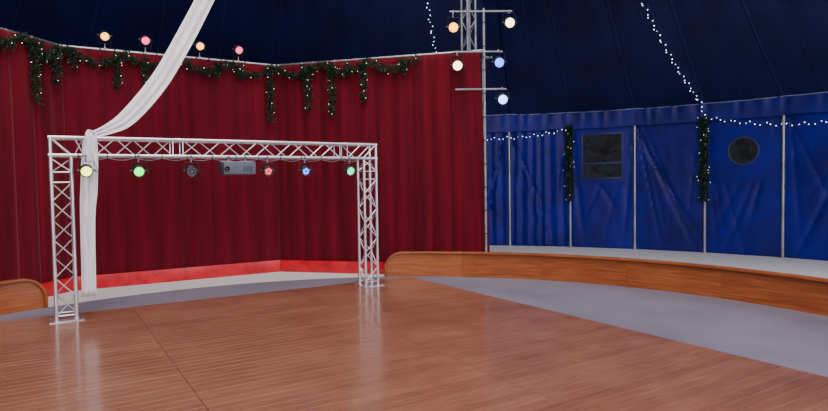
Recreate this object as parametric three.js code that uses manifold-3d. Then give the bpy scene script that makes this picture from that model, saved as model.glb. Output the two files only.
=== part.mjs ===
// Round end section of a circus big top, with its ring, curtain and lighting.
// Millimetres, +Z up. The origin is the middle of the ring, on the ground.
// +X is to the right when looking from the ring to the back curtain, and +Y points to that curtain.
// The section is the part of a four-pole round tent from the back king poles outwards, open at its front.

import * as THREE from 'three';
import { mergeVertices } from 'three/addons/utils/BufferGeometryUtils.js';
import Module from 'manifold-3d';

const wasm = await Module();
wasm.setup();

// Driving dimensions of the tent
const seatGap = 0.3;            // between two pieces that touch
const frontCutY = -2540;        // where the section ends towards the front
const sidePoleCount = 46;       // side poles in the whole round tent
const lastPole = 13;            // the section runs from pole -13 to pole 13
const poleRingRadius = 12420;   // middle of the side poles
const sidePoleRadius = 38;
const sidePoleTop = 3560;
const polePinRadius = 12;
const eaveRadius = 12560;
const eaveHeight = 3600;
const sheetThickness = 3;
const wallTop = 3400;
const ridgeHalfSide = 5370;     // the ridge cable runs on a square through the king poles
const ridgeCableRadius = 12;
const ridgeHeight = 9000;       // at the king poles
const ridgeSag = 600;           // half way between them
const roofSag = 250;
const roofRows = 4;
const kingPoleOffset = 5230;    // both ways from the middle of the ring
const kingPoleWidth = 250;
const kingPoleHeight = 9200;
const guyReach = 2150;
const guyRadius = 11;
const eaveCableRadius = 9;
const eaveCableHeight = 3500;
const stakeRadius = 20;
const stakeHeight = 260;

// Driving dimensions of the ring
const ringRadius = 6500;
const fenceHeight = 500;
const fenceBoard = 40;
const fenceCapHeight = 40;
const fenceCapInside = 50;
const fenceCapOutside = 80;
const fenceEndRound = 340;
const fenceEndAngle = 112.2;
const gapAngleLeft = -21;
const gapAngleRight = 31;
const matThickness = 10;
const matPastCut = 90;          // the mat's straight ends past the front cut
const boardsHalfWidth = 3700;
const boardsBackY = 5200;
const boardsTop = 30;

// Driving dimensions of the curtain and its rail
const railHeight = 4400;
const railRadius = 25;
const railCornerX = 1990;
const railCornerY = 7750;
const railEndX = 5110;
const railEndY = 4430;
const railRightEndX = 5028;
const railRightEndY = 4517;
const foldDepth = 100;
const foldPitch = 250;
const curtainSheet = 5;
const curtainFoot = 15;
const plinthHeight = 250;
const plinthBoard = 20;
const garlandDepth = 100;
const garlandHeight = 180;
const garlandTop = 4440;

// Driving dimensions of the lighting
const portalMiddleX = 250;
const portalFrontY = 4650;
const portalWidth = 5000;
const portalHeight = 2535;
const trussWidth = 290;
const trussPlate = 40;
const trussPitch = 270;
const portalLampHeight = 2085;
const mastAngle = 48.5;
const mastDistance = 6620;
const mastHeight = 5170;
const mastRadius = 24;

const degrees = Math.PI / 180;
const bayAngle = 2 * Math.PI / sidePoleCount;
const poleAngle = (index) => index * bayAngle;
const cornerIndex = 45 * degrees / bayAngle;
const tieHeight = railHeight - 150;   // of the ties between the rail, the lamp mast and the king poles

const colours = {
  canvas: 0x1a2a6c,
  roof: 0x141b45,
  steel: 0xb9bcc4,
  galvanised: 0x8d9096,
  ply: 0xa8552a,
  boards: 0x9a6242,
  mat: 0x8c8298,
  curtain: 0x7a1220,
  plinth: 0xc01828,
  garland: 0x223a26,
  voile: 0xe8e2ee,
  black: 0x1c1c20,
  wire: 0x1a1f2a,
  pane: 0x12141c,
};

const finish = (color, roughness, metalness) => () => new THREE.MeshStandardMaterial({ color, roughness, metalness });
const finishes = {
  canvas: finish(colours.canvas, 0.6, 0),
  roof: finish(colours.roof, 0.65, 0),
  steel: finish(colours.steel, 0.35, 0.9),
  galvanised: finish(colours.galvanised, 0.55, 0.8),
  ply: finish(colours.ply, 0.4, 0),
  boards: finish(colours.boards, 0.25, 0),
  mat: finish(colours.mat, 0.9, 0),
  curtain: finish(colours.curtain, 0.9, 0),
  plinth: finish(colours.plinth, 0.5, 0),
  garland: finish(colours.garland, 0.9, 0),
  voile: finish(colours.voile, 0.8, 0),
  black: finish(colours.black, 0.5, 0.2),
  wire: finish(colours.wire, 0.6, 0),
  pane: finish(colours.pane, 0.4, 0),
};

const tent = new THREE.Group();

const addPiece = (name, geometry, material, parent = tent) => {
  const piece = new THREE.Mesh(geometry, finishes[material]());
  piece.name = name;
  parent.add(piece);
  return piece;
};

// Joining and cutting closed shapes

const toSolid = (geometry) => {
  const bare = geometry.clone();
  bare.deleteAttribute('normal');
  bare.deleteAttribute('uv');
  const merged = mergeVertices(bare, 1e-3);
  return new wasm.Manifold(new wasm.Mesh({
    numProp: 3,
    vertProperties: new Float32Array(merged.attributes.position.array),
    triVerts: new Uint32Array(merged.index.array),
  }));
};

const toGeometry = (solid) => {
  const mesh = solid.getMesh();
  const geometry = new THREE.BufferGeometry();
  geometry.setAttribute('position', new THREE.BufferAttribute(new Float32Array(mesh.vertProperties), 3));
  geometry.setIndex(new THREE.BufferAttribute(new Uint32Array(mesh.triVerts), 1));
  return geometry;
};

const joined = (geometries) => toGeometry(
  geometries.map(toSolid).reduce((whole, next) => whole.add(next)),
);

const cutBy = (geometry, cutters) => toGeometry(
  cutters.map(toSolid).reduce((whole, next) => whole.subtract(next), toSolid(geometry)),
);

// Simple shapes, in place

const box = (width, depth, height, x, y, z) => new THREE.BoxGeometry(width, depth, height).translate(x, y, z);

// A straight round bar from one point to another, with two of its corners level with its middle
const bar = (start, end, radius, sides = 6) => {
  const along = end.clone().sub(start);
  const level = new THREE.Vector3(along.y, -along.x, 0);
  if (level.length() < 1e-6) {
    level.set(1, 0, 0);
  }
  const turn = new THREE.Matrix4().makeBasis(
    along.clone().cross(level).normalize(),
    along.clone().normalize(),
    level.normalize(),
  );
  const middle = start.clone().add(end).multiplyScalar(0.5);
  return new THREE.CylinderGeometry(radius, radius, along.length(), sides)
    .applyMatrix4(turn)
    .translate(middle.x, middle.y, middle.z);
};

// Closes a tube made of rings of corners, one ring after the other
const closedTube = (positions, rings, sides) => {
  const faces = [];
  for (let i = 0; i < rings - 1; i += 1) {
    for (let side = 0; side < sides; side += 1) {
      const a = i * sides + side;
      const b = i * sides + (side + 1) % sides;
      faces.push(a, b, b + sides, a, b + sides, a + sides);
    }
  }
  for (let side = 1; side < sides - 1; side += 1) {
    const last = (rings - 1) * sides;
    faces.push(0, side + 1, side, last, last + side, last + side + 1);
  }
  const geometry = new THREE.BufferGeometry();
  geometry.setAttribute('position', new THREE.Float32BufferAttribute(positions, 3));
  geometry.setIndex(faces);
  return geometry;
};

// A cable or pipe through a row of points, with a mitre at each bend
const cableThrough = (points, radius, sides = 6) => {
  const count = points.length;
  const headings = points.slice(1).map((end, i) => end.clone().sub(points[i]).normalize());
  const level = new THREE.Vector3(headings[0].y, -headings[0].x, 0);
  if (level.length() < 1e-6) {
    level.set(1, 0, 0);
  }
  const positions = [];
  points.forEach((point, i) => {
    const before = headings[Math.max(i - 1, 0)];
    const after = headings[Math.min(i, count - 2)];
    const heading = before.clone().add(after).normalize();
    level.addScaledVector(heading, -level.dot(heading)).normalize();
    const upward = heading.clone().cross(level);
    const bend = before.clone().cross(after);
    const spread = bend.length() > 1e-6 ? bend.normalize().cross(heading) : new THREE.Vector3();
    const stretch = 1 / heading.dot(after) - 1;
    for (let side = 0; side < sides; side += 1) {
      const turn = 2 * Math.PI * side / sides;
      const offset = level.clone().multiplyScalar(Math.cos(turn)).addScaledVector(upward, Math.sin(turn));
      offset.addScaledVector(spread, offset.dot(spread) * stretch);
      positions.push(...point.clone().addScaledVector(offset, radius).toArray());
    }
  });
  return closedTube(positions, count, sides);
};

const flatShape = (points) => new THREE.Shape(points.map(([x, y]) => new THREE.Vector2(x, y)));

const upright = (points, low, high) => new THREE.ExtrudeGeometry(flatShape(points), {
  depth: high - low,
  bevelEnabled: false,
}).translate(0, 0, low);

// A point at a distance from the middle of the ring; the angle is from +Y towards +X
const around = (radius, angle, z = 0) => new THREE.Vector3(radius * Math.sin(angle), radius * Math.cos(angle), z);

// Lattices: four flat faces with a zigzag of triangular gaps, joined at the corners

const latticeFace = (width, length, edge, pitch) => {
  const shape = flatShape([[-width / 2, 0], [width / 2, 0], [width / 2, length], [-width / 2, length]]);
  const count = Math.round(length / pitch);
  const step = length / count;
  const inner = width / 2 - edge;
  for (let i = 1; i < count; i += 1) {
    const side = i % 2 ? 1 : -1;
    const triangle = [
      new THREE.Vector2(-side * inner, (i - 1) * step + edge / 2),
      new THREE.Vector2(-side * inner, (i + 1) * step - edge / 2),
      new THREE.Vector2(side * inner, i * step),
    ];
    const middle = triangle[0].clone().add(triangle[1]).add(triangle[2]).divideScalar(3);
    const gap = triangle.map((corner) => middle.clone().lerp(corner, 0.8));
    shape.holes.push(new THREE.Path(gap));
  }
  return shape;
};

const lattice = (width, length, plate, pitch) => {
  const face = (faceWidth) => new THREE.ExtrudeGeometry(
    latticeFace(faceWidth, length, plate, pitch),
    { depth: plate / 2, bevelEnabled: false },
  ).rotateX(Math.PI / 2);
  const wide = width;
  const narrow = width - plate / 2;
  return joined([
    face(wide).translate(0, -width / 2 + plate / 2, 0),
    face(wide).translate(0, width / 2, 0),
    face(narrow).translate(0, plate / 4, 0).rotateZ(Math.PI / 2).translate(width / 2 - plate / 4, 0, 0),
    face(narrow).translate(0, plate / 4, 0).rotateZ(Math.PI / 2).translate(-width / 2 + plate / 4, 0, 0),
  ]);
};

// The roof: a sheet from the square of the ridge cable out to the round eave

const ridgeZ = (angle) => {
  const along = Math.min(Math.abs(Math.tan(angle)), Math.abs(1 / Math.tan(angle)));
  return ridgeHeight - ridgeSag * (1 - along * along);
};

const onSquare = (halfSide, angle) => {
  const back = Math.abs(angle) <= Math.PI / 4 + 1e-9;
  const side = Math.sign(angle) * halfSide;
  return back
    ? new THREE.Vector3(halfSide * Math.tan(angle), halfSide, ridgeZ(angle))
    : new THREE.Vector3(side, side / Math.tan(angle), ridgeZ(angle));
};

// A polygon with one corner at each side pole
const onPolygon = (radius, index, z) => {
  const low = Math.floor(index + 1e-9);
  const share = index - low;
  const start = around(radius, poleAngle(low), z);
  return share < 1e-6 ? start : start.lerp(around(radius, poleAngle(low + 1), z), share);
};

const roofPoint = (index, share) => {
  const top = onSquare(ridgeHalfSide + ridgeCableRadius + seatGap, poleAngle(index));
  const point = top.lerp(onPolygon(eaveRadius, index, eaveHeight), share);
  point.z -= roofSag * 4 * share * (1 - share);
  return point;
};

// A closed sheet from a grid of points, with its underside straight below
const sheetFromGrid = (grid, thickness) => {
  const rows = grid.length;
  const columns = grid[0].length;
  const upper = grid.flat();
  const lower = upper.map((point) => point.clone().setZ(point.z - thickness));
  const positions = [...upper, ...lower].flatMap((point) => [point.x, point.y, point.z]);
  const place = (row, column, under) => row * columns + column + (under ? upper.length : 0);
  const faces = [];
  const quad = (a, b, c, d) => faces.push(a, c, b, a, d, c);
  for (let row = 0; row < rows - 1; row += 1) {
    for (let column = 0; column < columns - 1; column += 1) {
      quad(place(row, column), place(row + 1, column), place(row + 1, column + 1), place(row, column + 1));
      quad(
        place(row, column, true),
        place(row, column + 1, true),
        place(row + 1, column + 1, true),
        place(row + 1, column, true),
      );
    }
  }
  for (let row = 0; row < rows - 1; row += 1) {
    const last = columns - 1;
    quad(place(row, 0), place(row, 0, true), place(row + 1, 0, true), place(row + 1, 0));
    quad(place(row, last), place(row + 1, last), place(row + 1, last, true), place(row, last, true));
  }
  for (let column = 0; column < columns - 1; column += 1) {
    const last = rows - 1;
    quad(place(0, column), place(0, column + 1), place(0, column + 1, true), place(0, column, true));
    quad(place(last, column), place(last, column, true), place(last, column + 1, true), place(last, column + 1));
  }
  const geometry = new THREE.BufferGeometry();
  geometry.setAttribute('position', new THREE.Float32BufferAttribute(positions, 3));
  geometry.setIndex(faces);
  return geometry;
};

const roofColumns = (first, last) => {
  const corners = [-cornerIndex, cornerIndex].filter((index) => index > first && index < last);
  const whole = Array.from({ length: last - first + 1 }, (_, i) => first + i);
  return [...whole, ...corners].sort((a, b) => a - b);
};

const roofPanel = (first, last) => {
  const columns = roofColumns(first, last);
  const grid = Array.from({ length: roofRows + 1 }, (_, row) => columns.map((index) => {
    const point = roofPoint(index, row / roofRows);
    const square = around(1, poleAngle(index) + Math.PI / 2);
    const shift = index === first ? seatGap / 2 : index === last ? -seatGap / 2 : 0;
    return point.addScaledVector(square, shift);
  }));
  return sheetFromGrid(grid, sheetThickness);
};

// The side wall: flat from pole to pole, hung outside the poles

const wallInside = poleRingRadius + sidePoleRadius + seatGap;
const wallOutside = wallInside + sheetThickness;
const windowWidth = 1000;
const windowHeight = 1150;
const windowMiddle = 2500;
const windowIndex = 7.5;
const portIndex = 9.5;
const portRadius = 300;
const portSides = 12;
const paneThickness = 12;
const frameWidth = 60;
const wallFacet = (wallInside + wallOutside) / 2 * Math.cos(bayAngle / 2);

const wallPanel = (first, last) => {
  const indices = Array.from({ length: last - first + 1 }, (_, i) => first + i);
  const edge = (radius) => indices.map((index) => {
    const point = around(radius, poleAngle(index));
    const square = around(1, poleAngle(index) + Math.PI / 2);
    const shift = index === first ? seatGap / 2 : index === last ? -seatGap / 2 : 0;
    point.addScaledVector(square, shift);
    return [point.x, point.y];
  });
  return upright([...edge(wallInside).reverse(), ...edge(wallOutside)], 0, wallTop);
};

// Puts a shape made round the +Y axis on the flat of the wall in the middle of a bay
const onWall = (geometry, index, outwards = 0) => {
  const angle = poleAngle(index);
  const place = around(wallFacet + outwards, angle, windowMiddle);
  return geometry.rotateZ(-angle).translate(place.x, place.y, place.z);
};

const windowHole = (index, grow) => onWall(
  new THREE.BoxGeometry(windowWidth + grow, paneThickness * 2, windowHeight + grow),
  index,
);

const portHole = (index, grow) => onWall(
  new THREE.CylinderGeometry(portRadius + grow / 2, portRadius + grow / 2, paneThickness * 2, portSides),
  index,
);

const wallHoles = [
  [-windowIndex, windowHole],
  [windowIndex, windowHole],
  [-portIndex, portHole],
  [portIndex, portHole],
];

const frameSeat = sheetThickness / 2 + seatGap + paneThickness / 2;

const windowPane = (index) => joined([
  windowHole(index, -2 * seatGap),
  onWall(
    new THREE.BoxGeometry(windowWidth + 2 * frameWidth, paneThickness, windowHeight + 2 * frameWidth),
    index,
    -frameSeat,
  ),
]);

const portPane = (index) => joined([
  portHole(index, -2 * seatGap),
  onWall(
    new THREE.CylinderGeometry(portRadius + frameWidth, portRadius + frameWidth, paneThickness, portSides),
    index,
    -frameSeat,
  ),
]);

// Side poles, tied by the cable along the eave and held by guy ropes to stakes

const roofUndersideAt = (index, radius) => {
  const outward = around(1, poleAngle(index));
  for (let row = 0; row < roofRows; row += 1) {
    const inner = roofPoint(index, row / roofRows);
    const outer = roofPoint(index, (row + 1) / roofRows);
    const innerRadius = inner.dot(outward);
    const outerRadius = outer.dot(outward);
    if (radius <= outerRadius + 1e-6) {
      const share = (radius - innerRadius) / (outerRadius - innerRadius);
      return inner.z + (outer.z - inner.z) * share - sheetThickness;
    }
  }
  return eaveHeight - sheetThickness;
};

const pinClearance = 0.8;
const pinLap = 50;              // of the pin in the pole's top
const guyBelowTop = 20;         // where the guy rope ties to the pole, below its top
const guyBelowStake = 60;

// Strings of lights hang on hooks inside the poles: height at each pole, by the pole's number
const wireRadius = 5;
const wireRingRadius = 12342;
const wireHookRadius = 4;
const backWireHeights = { 5: 3200, 6: 3100, 7: 3300 };
const frontWireHeights = { 9: 3380, 10: 3070, 11: 3120, 12: 3280, 13: 3380 };

const wireHook = (index) => {
  const height = { ...backWireHeights, ...frontWireHeights }[Math.abs(index)];
  if (!height) {
    return [];
  }
  const from = around(poleRingRadius, poleAngle(index), height);
  const to = around(wireRingRadius + wireRadius + seatGap, poleAngle(index), height);
  return [bar(from, to, wireHookRadius, 4)];
};

const sidePole = (index) => {
  const angle = poleAngle(index);
  const foot = around(poleRingRadius, angle, 0);
  const head = around(poleRingRadius, angle, sidePoleTop);
  const pinTop = around(
    poleRingRadius,
    angle,
    roofUndersideAt(index, poleRingRadius + polePinRadius) - pinClearance,
  );
  const pinFoot = head.clone().setZ(sidePoleTop - pinLap);
  const guyTop = around(poleRingRadius, angle, sidePoleTop - guyBelowTop);
  const stakeFoot = around(poleRingRadius + guyReach, angle, 0);
  const stakeTop = stakeFoot.clone().setZ(stakeHeight);
  const guyFoot = stakeFoot.clone().setZ(stakeHeight - guyBelowStake);
  return [
    bar(foot, head, sidePoleRadius, 6),
    bar(pinFoot, pinTop, polePinRadius, 4),
    bar(guyTop, guyFoot, guyRadius, 4),
    bar(stakeFoot, stakeTop, stakeRadius, 6),
    ...wireHook(index),
  ];
};

const sideFrame = (first, last) => {
  const indices = Array.from({ length: last - first + 1 }, (_, i) => first + i);
  const endGap = seatGap / 2 / (poleRingRadius * bayAngle);
  const starts = first > -lastPole ? [first - 0.5 + endGap] : [];
  const ends = last < lastPole ? [last + 0.5 - endGap] : [];
  const cable = [...starts, ...indices, ...ends].map((index) => onPolygon(poleRingRadius, index, eaveCableHeight));
  return joined([...indices.flatMap(sidePole), cableThrough(cable, eaveCableRadius, 4)]);
};

// King poles: square lattice masts with a foot plate, and a crown plate with a saddle under the ridge cable

const crownHalf = 150;
const crownDrop = 95;
const saddleWidth = 16;
const saddleDrop = 2.3;
const footHalf = 300;
const plateThickness = 20;
const kingPoleChord = 50;
const kingPolePitch = 620;

const kingPole = (side) => {
  const crownTop = ridgeHeight - crownDrop;
  const saddleTop = ridgeHeight - ridgeCableRadius - saddleDrop;
  const saddle = ridgeHalfSide - kingPoleOffset;
  return joined([
    lattice(kingPoleWidth, kingPoleHeight, kingPoleChord, kingPolePitch),
    box(2 * footHalf, 2 * footHalf, plateThickness, 0, 0, plateThickness / 2),
    box(2 * crownHalf, 2 * crownHalf, plateThickness, 0, 0, crownTop - plateThickness / 2),
    box(saddleWidth, saddleWidth, saddleTop - crownTop + 2, side * saddle, saddle, (saddleTop + crownTop) / 2 - 1),
    box(kingPoleWidth, kingPoleWidth, plateThickness, 0, 0, kingPoleHeight - plateThickness / 2),
  ]);
};

const ridgeCable = () => {
  const points = roofColumns(-lastPole, lastPole)
    .filter((index) => Math.abs(index) < cornerIndex + 1e-6 || Math.abs(index) > Math.ceil(cornerIndex))
    .map((index) => onSquare(ridgeHalfSide, poleAngle(index)));
  return cableThrough(points, ridgeCableRadius, 8);
};

// The ring: a mat, a floor of boards and a low fence with rounded ends at the artists' entrance

const arcSteps = (from, to, count) => Array.from({ length: count + 1 }, (_, i) => from + (to - from) * i / count);
const leftAngles = arcSteps(-fenceEndAngle, gapAngleLeft, 24).map((angle) => angle * degrees);
const rightAngles = arcSteps(gapAngleRight, fenceEndAngle, 22).map((angle) => angle * degrees);
const gapAngles = arcSteps(gapAngleLeft, gapAngleRight, 12).slice(1, -1).map((angle) => angle * degrees);
const fenceInside = ringRadius;

const ringMat = () => {
  const radius = fenceInside - seatGap;
  const arc = [...leftAngles, ...gapAngles, ...rightAngles].map((angle) => {
    const point = around(radius, angle);
    return [point.x, Math.max(point.y, frontCutY + matPastCut)];
  });
  const [firstX] = arc[0];
  const [lastX] = arc[arc.length - 1];
  return upright([...arc, [lastX, frontCutY], [firstX, frontCutY]].reverse(), 0, matThickness);
};

const danceFloor = () => {
  const low = matThickness + seatGap;
  return box(
    2 * boardsHalfWidth,
    boardsBackY - frontCutY,
    boardsTop - low,
    0,
    (boardsBackY + frontCutY) / 2,
    (boardsTop + low) / 2,
  );
};

const fenceLap = 1;             // of the boards into the cap

const fenceSector = (angles, inside, outside, low, high) => {
  const edge = (radius) => angles.map((angle) => {
    const point = around(radius, angle);
    return [point.x, point.y];
  });
  return upright([...edge(inside).reverse(), ...edge(outside)], low, high);
};

// Cuts the top corner of a fence to a round, where it ends at the entrance
const endRounding = (angle, side) => {
  const radius = fenceEndRound;
  const past = radius * 1.2;
  const depth = 2 * radius;
  const shape = new THREE.Shape();
  shape.moveTo(side * radius, radius);
  shape.absarc(0, 0, radius, side > 0 ? 0 : Math.PI, Math.PI / 2, side < 0);
  shape.lineTo(0, past);
  shape.lineTo(side * past, past);
  shape.lineTo(side * past, 0);
  shape.lineTo(side * radius, 0);
  const place = around(ringRadius, angle - side * radius / ringRadius, fenceHeight - radius);
  return new THREE.ExtrudeGeometry(shape, { depth, bevelEnabled: false, curveSegments: 6 })
    .translate(0, 0, -depth / 2)
    .rotateX(Math.PI / 2)
    .rotateZ(-angle + side * radius / ringRadius)
    .translate(place.x, place.y, place.z);
};

const fence = (angles, roundedEnds) => {
  const boardTop = fenceHeight - fenceCapHeight;
  const capInside = fenceInside - fenceCapInside;
  const capOutside = fenceInside + fenceCapOutside;
  const whole = joined([
    fenceSector(angles, fenceInside, fenceInside + fenceBoard, 0, boardTop + fenceLap),
    fenceSector(angles, capInside, capOutside, boardTop, fenceHeight),
  ]);
  return roundedEnds.length ? cutBy(whole, roundedEnds) : whole;
};

// The curtain, its rail, the red plinth at its foot and the garland along its top

const railPath = [
  [-railEndX, railEndY],
  [-railCornerX, railCornerY],
  [railCornerX, railCornerY],
  [railRightEndX, railRightEndY],
];

// The rail's line moved towards the ring, with its corners mitred
const movedIn = (distance) => {
  const normals = railPath.slice(1).map(([x, y], i) => {
    const [startX, startY] = railPath[i];
    return new THREE.Vector2(y - startY, -(x - startX)).normalize();
  });
  return railPath.map(([x, y], i) => {
    const before = normals[Math.max(i - 1, 0)];
    const after = normals[Math.min(i, normals.length - 1)];
    const mitre = before.clone().add(after).divideScalar(1 + before.dot(after));
    return [x + mitre.x * distance, y + mitre.y * distance];
  });
};

// A band along the rail, which ends at a share of the right wing
const alongRail = (near, far, low, high, endShare = 1) => {
  const edge = (distance) => {
    const line = movedIn(distance);
    const corner = new THREE.Vector2(...line.at(-2));
    const end = corner.lerp(new THREE.Vector2(...line.at(-1)), endShare);
    return [...line.slice(0, -1), [end.x, end.y]];
  };
  return upright([...edge(near), ...edge(far).reverse()], low, high);
};

const curtainRail = () => {
  const corners = railPath.map(([x, y]) => new THREE.Vector3(x, y, railHeight));
  const tieFrom = new THREE.Vector3(-railEndX, railEndY, tieHeight);
  const tieTo = tieFrom.clone().setY(kingPoleOffset - kingPoleWidth / 2 - seatGap);
  return joined([
    cableThrough(corners, railRadius, 8),
    ...corners.map((corner) => bar(corner.clone().setZ(0), corner.clone().setZ(railHeight), railRadius, 8)),
    bar(tieFrom, tieTo, railRadius / 2, 6),
    ...railYokes,
  ]);
};

const curtainMiddle = railRadius + seatGap + (foldDepth + curtainSheet) / 2;
const curtainFront = curtainMiddle + (foldDepth + curtainSheet) / 2;
const curtainInset = 75;        // at the rail's corners
const curtainParting = 12;      // from the middle of the rail
const curtainEnd = 40;          // at the rail's ends

// A folded curtain between two shares of one side of the rail
const curtain = (side, startInset, endInset, fromShare, toShare) => {
  const start = new THREE.Vector2(...railPath[side]);
  const end = new THREE.Vector2(...railPath[side + 1]);
  const length = start.distanceTo(end);
  const along = end.clone().sub(start).normalize();
  const inwards = new THREE.Vector2(along.y, -along.x);
  const from = length * fromShare + startInset;
  const to = length * toShare - endInset;
  const folds = Math.round((to - from) / foldPitch);
  const steps = folds * 2;
  const line = (offset) => Array.from({ length: steps + 1 }, (_, i) => {
    const distance = from + (to - from) * i / steps;
    const wave = foldDepth / 2 * Math.cos(i * Math.PI);
    const point = start.clone()
      .addScaledVector(along, distance)
      .addScaledVector(inwards, curtainMiddle + wave + offset);
    return [point.x, point.y];
  });
  const near = line(-curtainSheet / 2);
  const far = line(curtainSheet / 2);
  return upright([...near, ...far.reverse()], curtainFoot, railHeight);
};

const curtainPlinth = () => alongRail(curtainFront + seatGap, curtainFront + seatGap + plinthBoard, 0, plinthHeight);

// Tails of the garland: side of the rail, share along it, and length
const garlandTails = [
  [0, 0.45, 700],
  [0, 0.93, 1150],
  [1, 0.27, 560],
  [1, 0.97, 1250],
  [2, 0.17, 1000],
  [2, 0.29, 1200],
  [2, 0.45, 900],
];
const tailWidth = 120;
const tailBelowTop = 60;
const garlandEndShare = 0.71;   // of the right wing

const railGarland = () => {
  const near = curtainFront + seatGap;
  const far = near + garlandDepth;
  const tails = garlandTails.map(([side, share, length]) => {
    const start = new THREE.Vector2(...movedIn(near)[side]);
    const end = new THREE.Vector2(...movedIn(near)[side + 1]);
    const along = end.clone().sub(start).normalize();
    const angle = Math.atan2(along.y, along.x);
    const place = start.clone().lerp(end, share)
      .add(new THREE.Vector2(along.y, -along.x).multiplyScalar(garlandDepth / 2));
    return new THREE.BoxGeometry(tailWidth, garlandDepth - 2, length)
      .rotateZ(angle)
      .translate(place.x, place.y, garlandTop - tailBelowTop - length / 2);
  });
  const band = alongRail(near, far, garlandTop - garlandHeight, garlandTop, garlandEndShare);
  return joined([band, ...tails]);
};

// Lamps: a can that tilts between the arms of a yoke. In its own frame a lamp shines towards -Y
// and tilts about X, and its yoke stands on the carrying pipe or hangs from it.

const lampSizes = {
  mast: { radius: 100, front: 120, back: 110, yoke: 175 },
  rail: { radius: 85, front: 100, back: 90, yoke: 150 },
  portal: { radius: 80, front: 70, back: 80, yoke: 125 },
};
const yokeThickness = 5;
const yokeWidth = 30;
const trunnionRadius = 9;
const canClearance = 14;
const canLip = 8;
const lensSetBack = 14;

const lampCan = ({ radius, front, back }) => {
  const profile = [
    [0, -front + lensSetBack],
    [radius - canLip, -front + lensSetBack],
    [radius - canLip, -front],
    [radius, -front],
    [radius, back * 0.45],
    [radius * 0.6, back],
    [0, back],
  ].map(([x, y]) => new THREE.Vector2(x, y));
  const reach = radius + canClearance - seatGap;
  return joined([
    new THREE.LatheGeometry(profile, 10),
    bar(new THREE.Vector3(-reach, 0, 0), new THREE.Vector3(reach, 0, 0), trunnionRadius, 6),
  ]);
};

// side is 1 for a yoke above the lamp and -1 for one below it; reach is from the yoke to the pipe's middle
const lampYoke = ({ radius, yoke }, side, reach) => {
  const inside = radius + canClearance;
  const outside = inside + yokeThickness;
  const foot = -trunnionRadius - 6;
  const outline = [
    [-outside, foot],
    [-inside, foot],
    [-inside, yoke - yokeThickness],
    [inside, yoke - yokeThickness],
    [inside, foot],
    [outside, foot],
    [outside, yoke],
    [-outside, yoke],
  ].map(([x, z]) => [x, side * z]);
  const fork = new THREE.ExtrudeGeometry(flatShape(outline), { depth: yokeWidth, bevelEnabled: false })
    .rotateX(Math.PI / 2)
    .translate(0, yokeWidth / 2, 0);
  const stem = yokeWidth * 0.7;
  return [fork, box(stem, stem, reach, 0, 0, side * (yoke + reach / 2 - yokeThickness / 2))];
};

const lamps = [];
const yokeLap = 5;              // of a yoke's stem into the pipe that carries it

// Notes a lamp for its own node and gives back its yoke, in place
const hangLamp = (name, size, place, turn, tilt, side, pipeZ) => {
  lamps.push({ name, size, place, turn, tilt });
  const reach = Math.abs(pipeZ - place.z) - lampSizes[size].yoke + yokeThickness;
  return lampYoke(lampSizes[size], side, reach)
    .map((geometry) => geometry.rotateZ(turn).translate(place.x, place.y, place.z));
};

const railLampPlaces = [-1270, -580, 420, 1190];
const railLampAbove = 260;
const railYokes = railLampPlaces.flatMap((x, i) => hangLamp(
  `rail_lamp_${i + 1}`,
  'rail',
  new THREE.Vector3(x, railCornerY, railHeight + railLampAbove),
  0,
  22 * degrees,
  -1,
  railHeight,
));

// The lamp mast: a pipe with three crossbars and five lamps, tied to the king pole and to the curtain's end post
const mastBars = [[5110, -650, 545], [4345, -590, 350], [3630, -560, 420]];
const mastLampPlaces = [[-590, 4820, 0], [487, 4900, 0], [-522, 4100, 1], [278, 4150, 1], [339, 3450, 2]];
const mastBarTurn = -30;
const mastFoot = around(mastDistance, mastAngle * degrees, 0);
const mastBarRadius = 17;
const mastFootRadius = 40;
const mastFootHeight = 12;
const poleTieRadius = 15;
const postTieRadius = 12;
const poleTieInset = 20;        // from the king pole's edge

const lampMast = () => {
  const turn = mastBarTurn * degrees;
  const across = new THREE.Vector3(Math.cos(turn), Math.sin(turn), 0);
  const at = (distance, z) => mastFoot.clone().addScaledVector(across, distance).setZ(z);
  const postFace = new THREE.Vector3(railRightEndX, railRightEndY - railRadius - seatGap, tieHeight);
  const poleFace = new THREE.Vector3(
    kingPoleOffset - kingPoleWidth / 2 + poleTieInset,
    kingPoleOffset - kingPoleWidth / 2 - seatGap,
    tieHeight,
  );
  return joined([
    bar(mastFoot, mastFoot.clone().setZ(mastHeight), mastRadius, 8),
    bar(mastFoot, mastFoot.clone().setZ(mastFootHeight), mastFootRadius, 8),
    ...mastBars.map(([z, from, to]) => bar(at(from, z), at(to, z), mastBarRadius, 6)),
    bar(mastFoot.clone().setZ(tieHeight), poleFace.clone().setY(mastFoot.y), poleTieRadius, 6),
    bar(poleFace.clone().setY(mastFoot.y - poleTieRadius), poleFace, poleTieRadius, 6),
    bar(postFace.clone().setY(mastFoot.y), postFace, postTieRadius, 6),
    ...mastLampPlaces.flatMap(([distance, z, level], i) => hangLamp(
      `mast_lamp_${i + 1}`,
      'mast',
      at(distance, z),
      turn,
      18 * degrees,
      1,
      mastBars[level][0] + yokeLap,
    )),
  ]);
};

// The portal: a goalpost of box truss on the boards, with lamps and a projector under its beam

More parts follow.
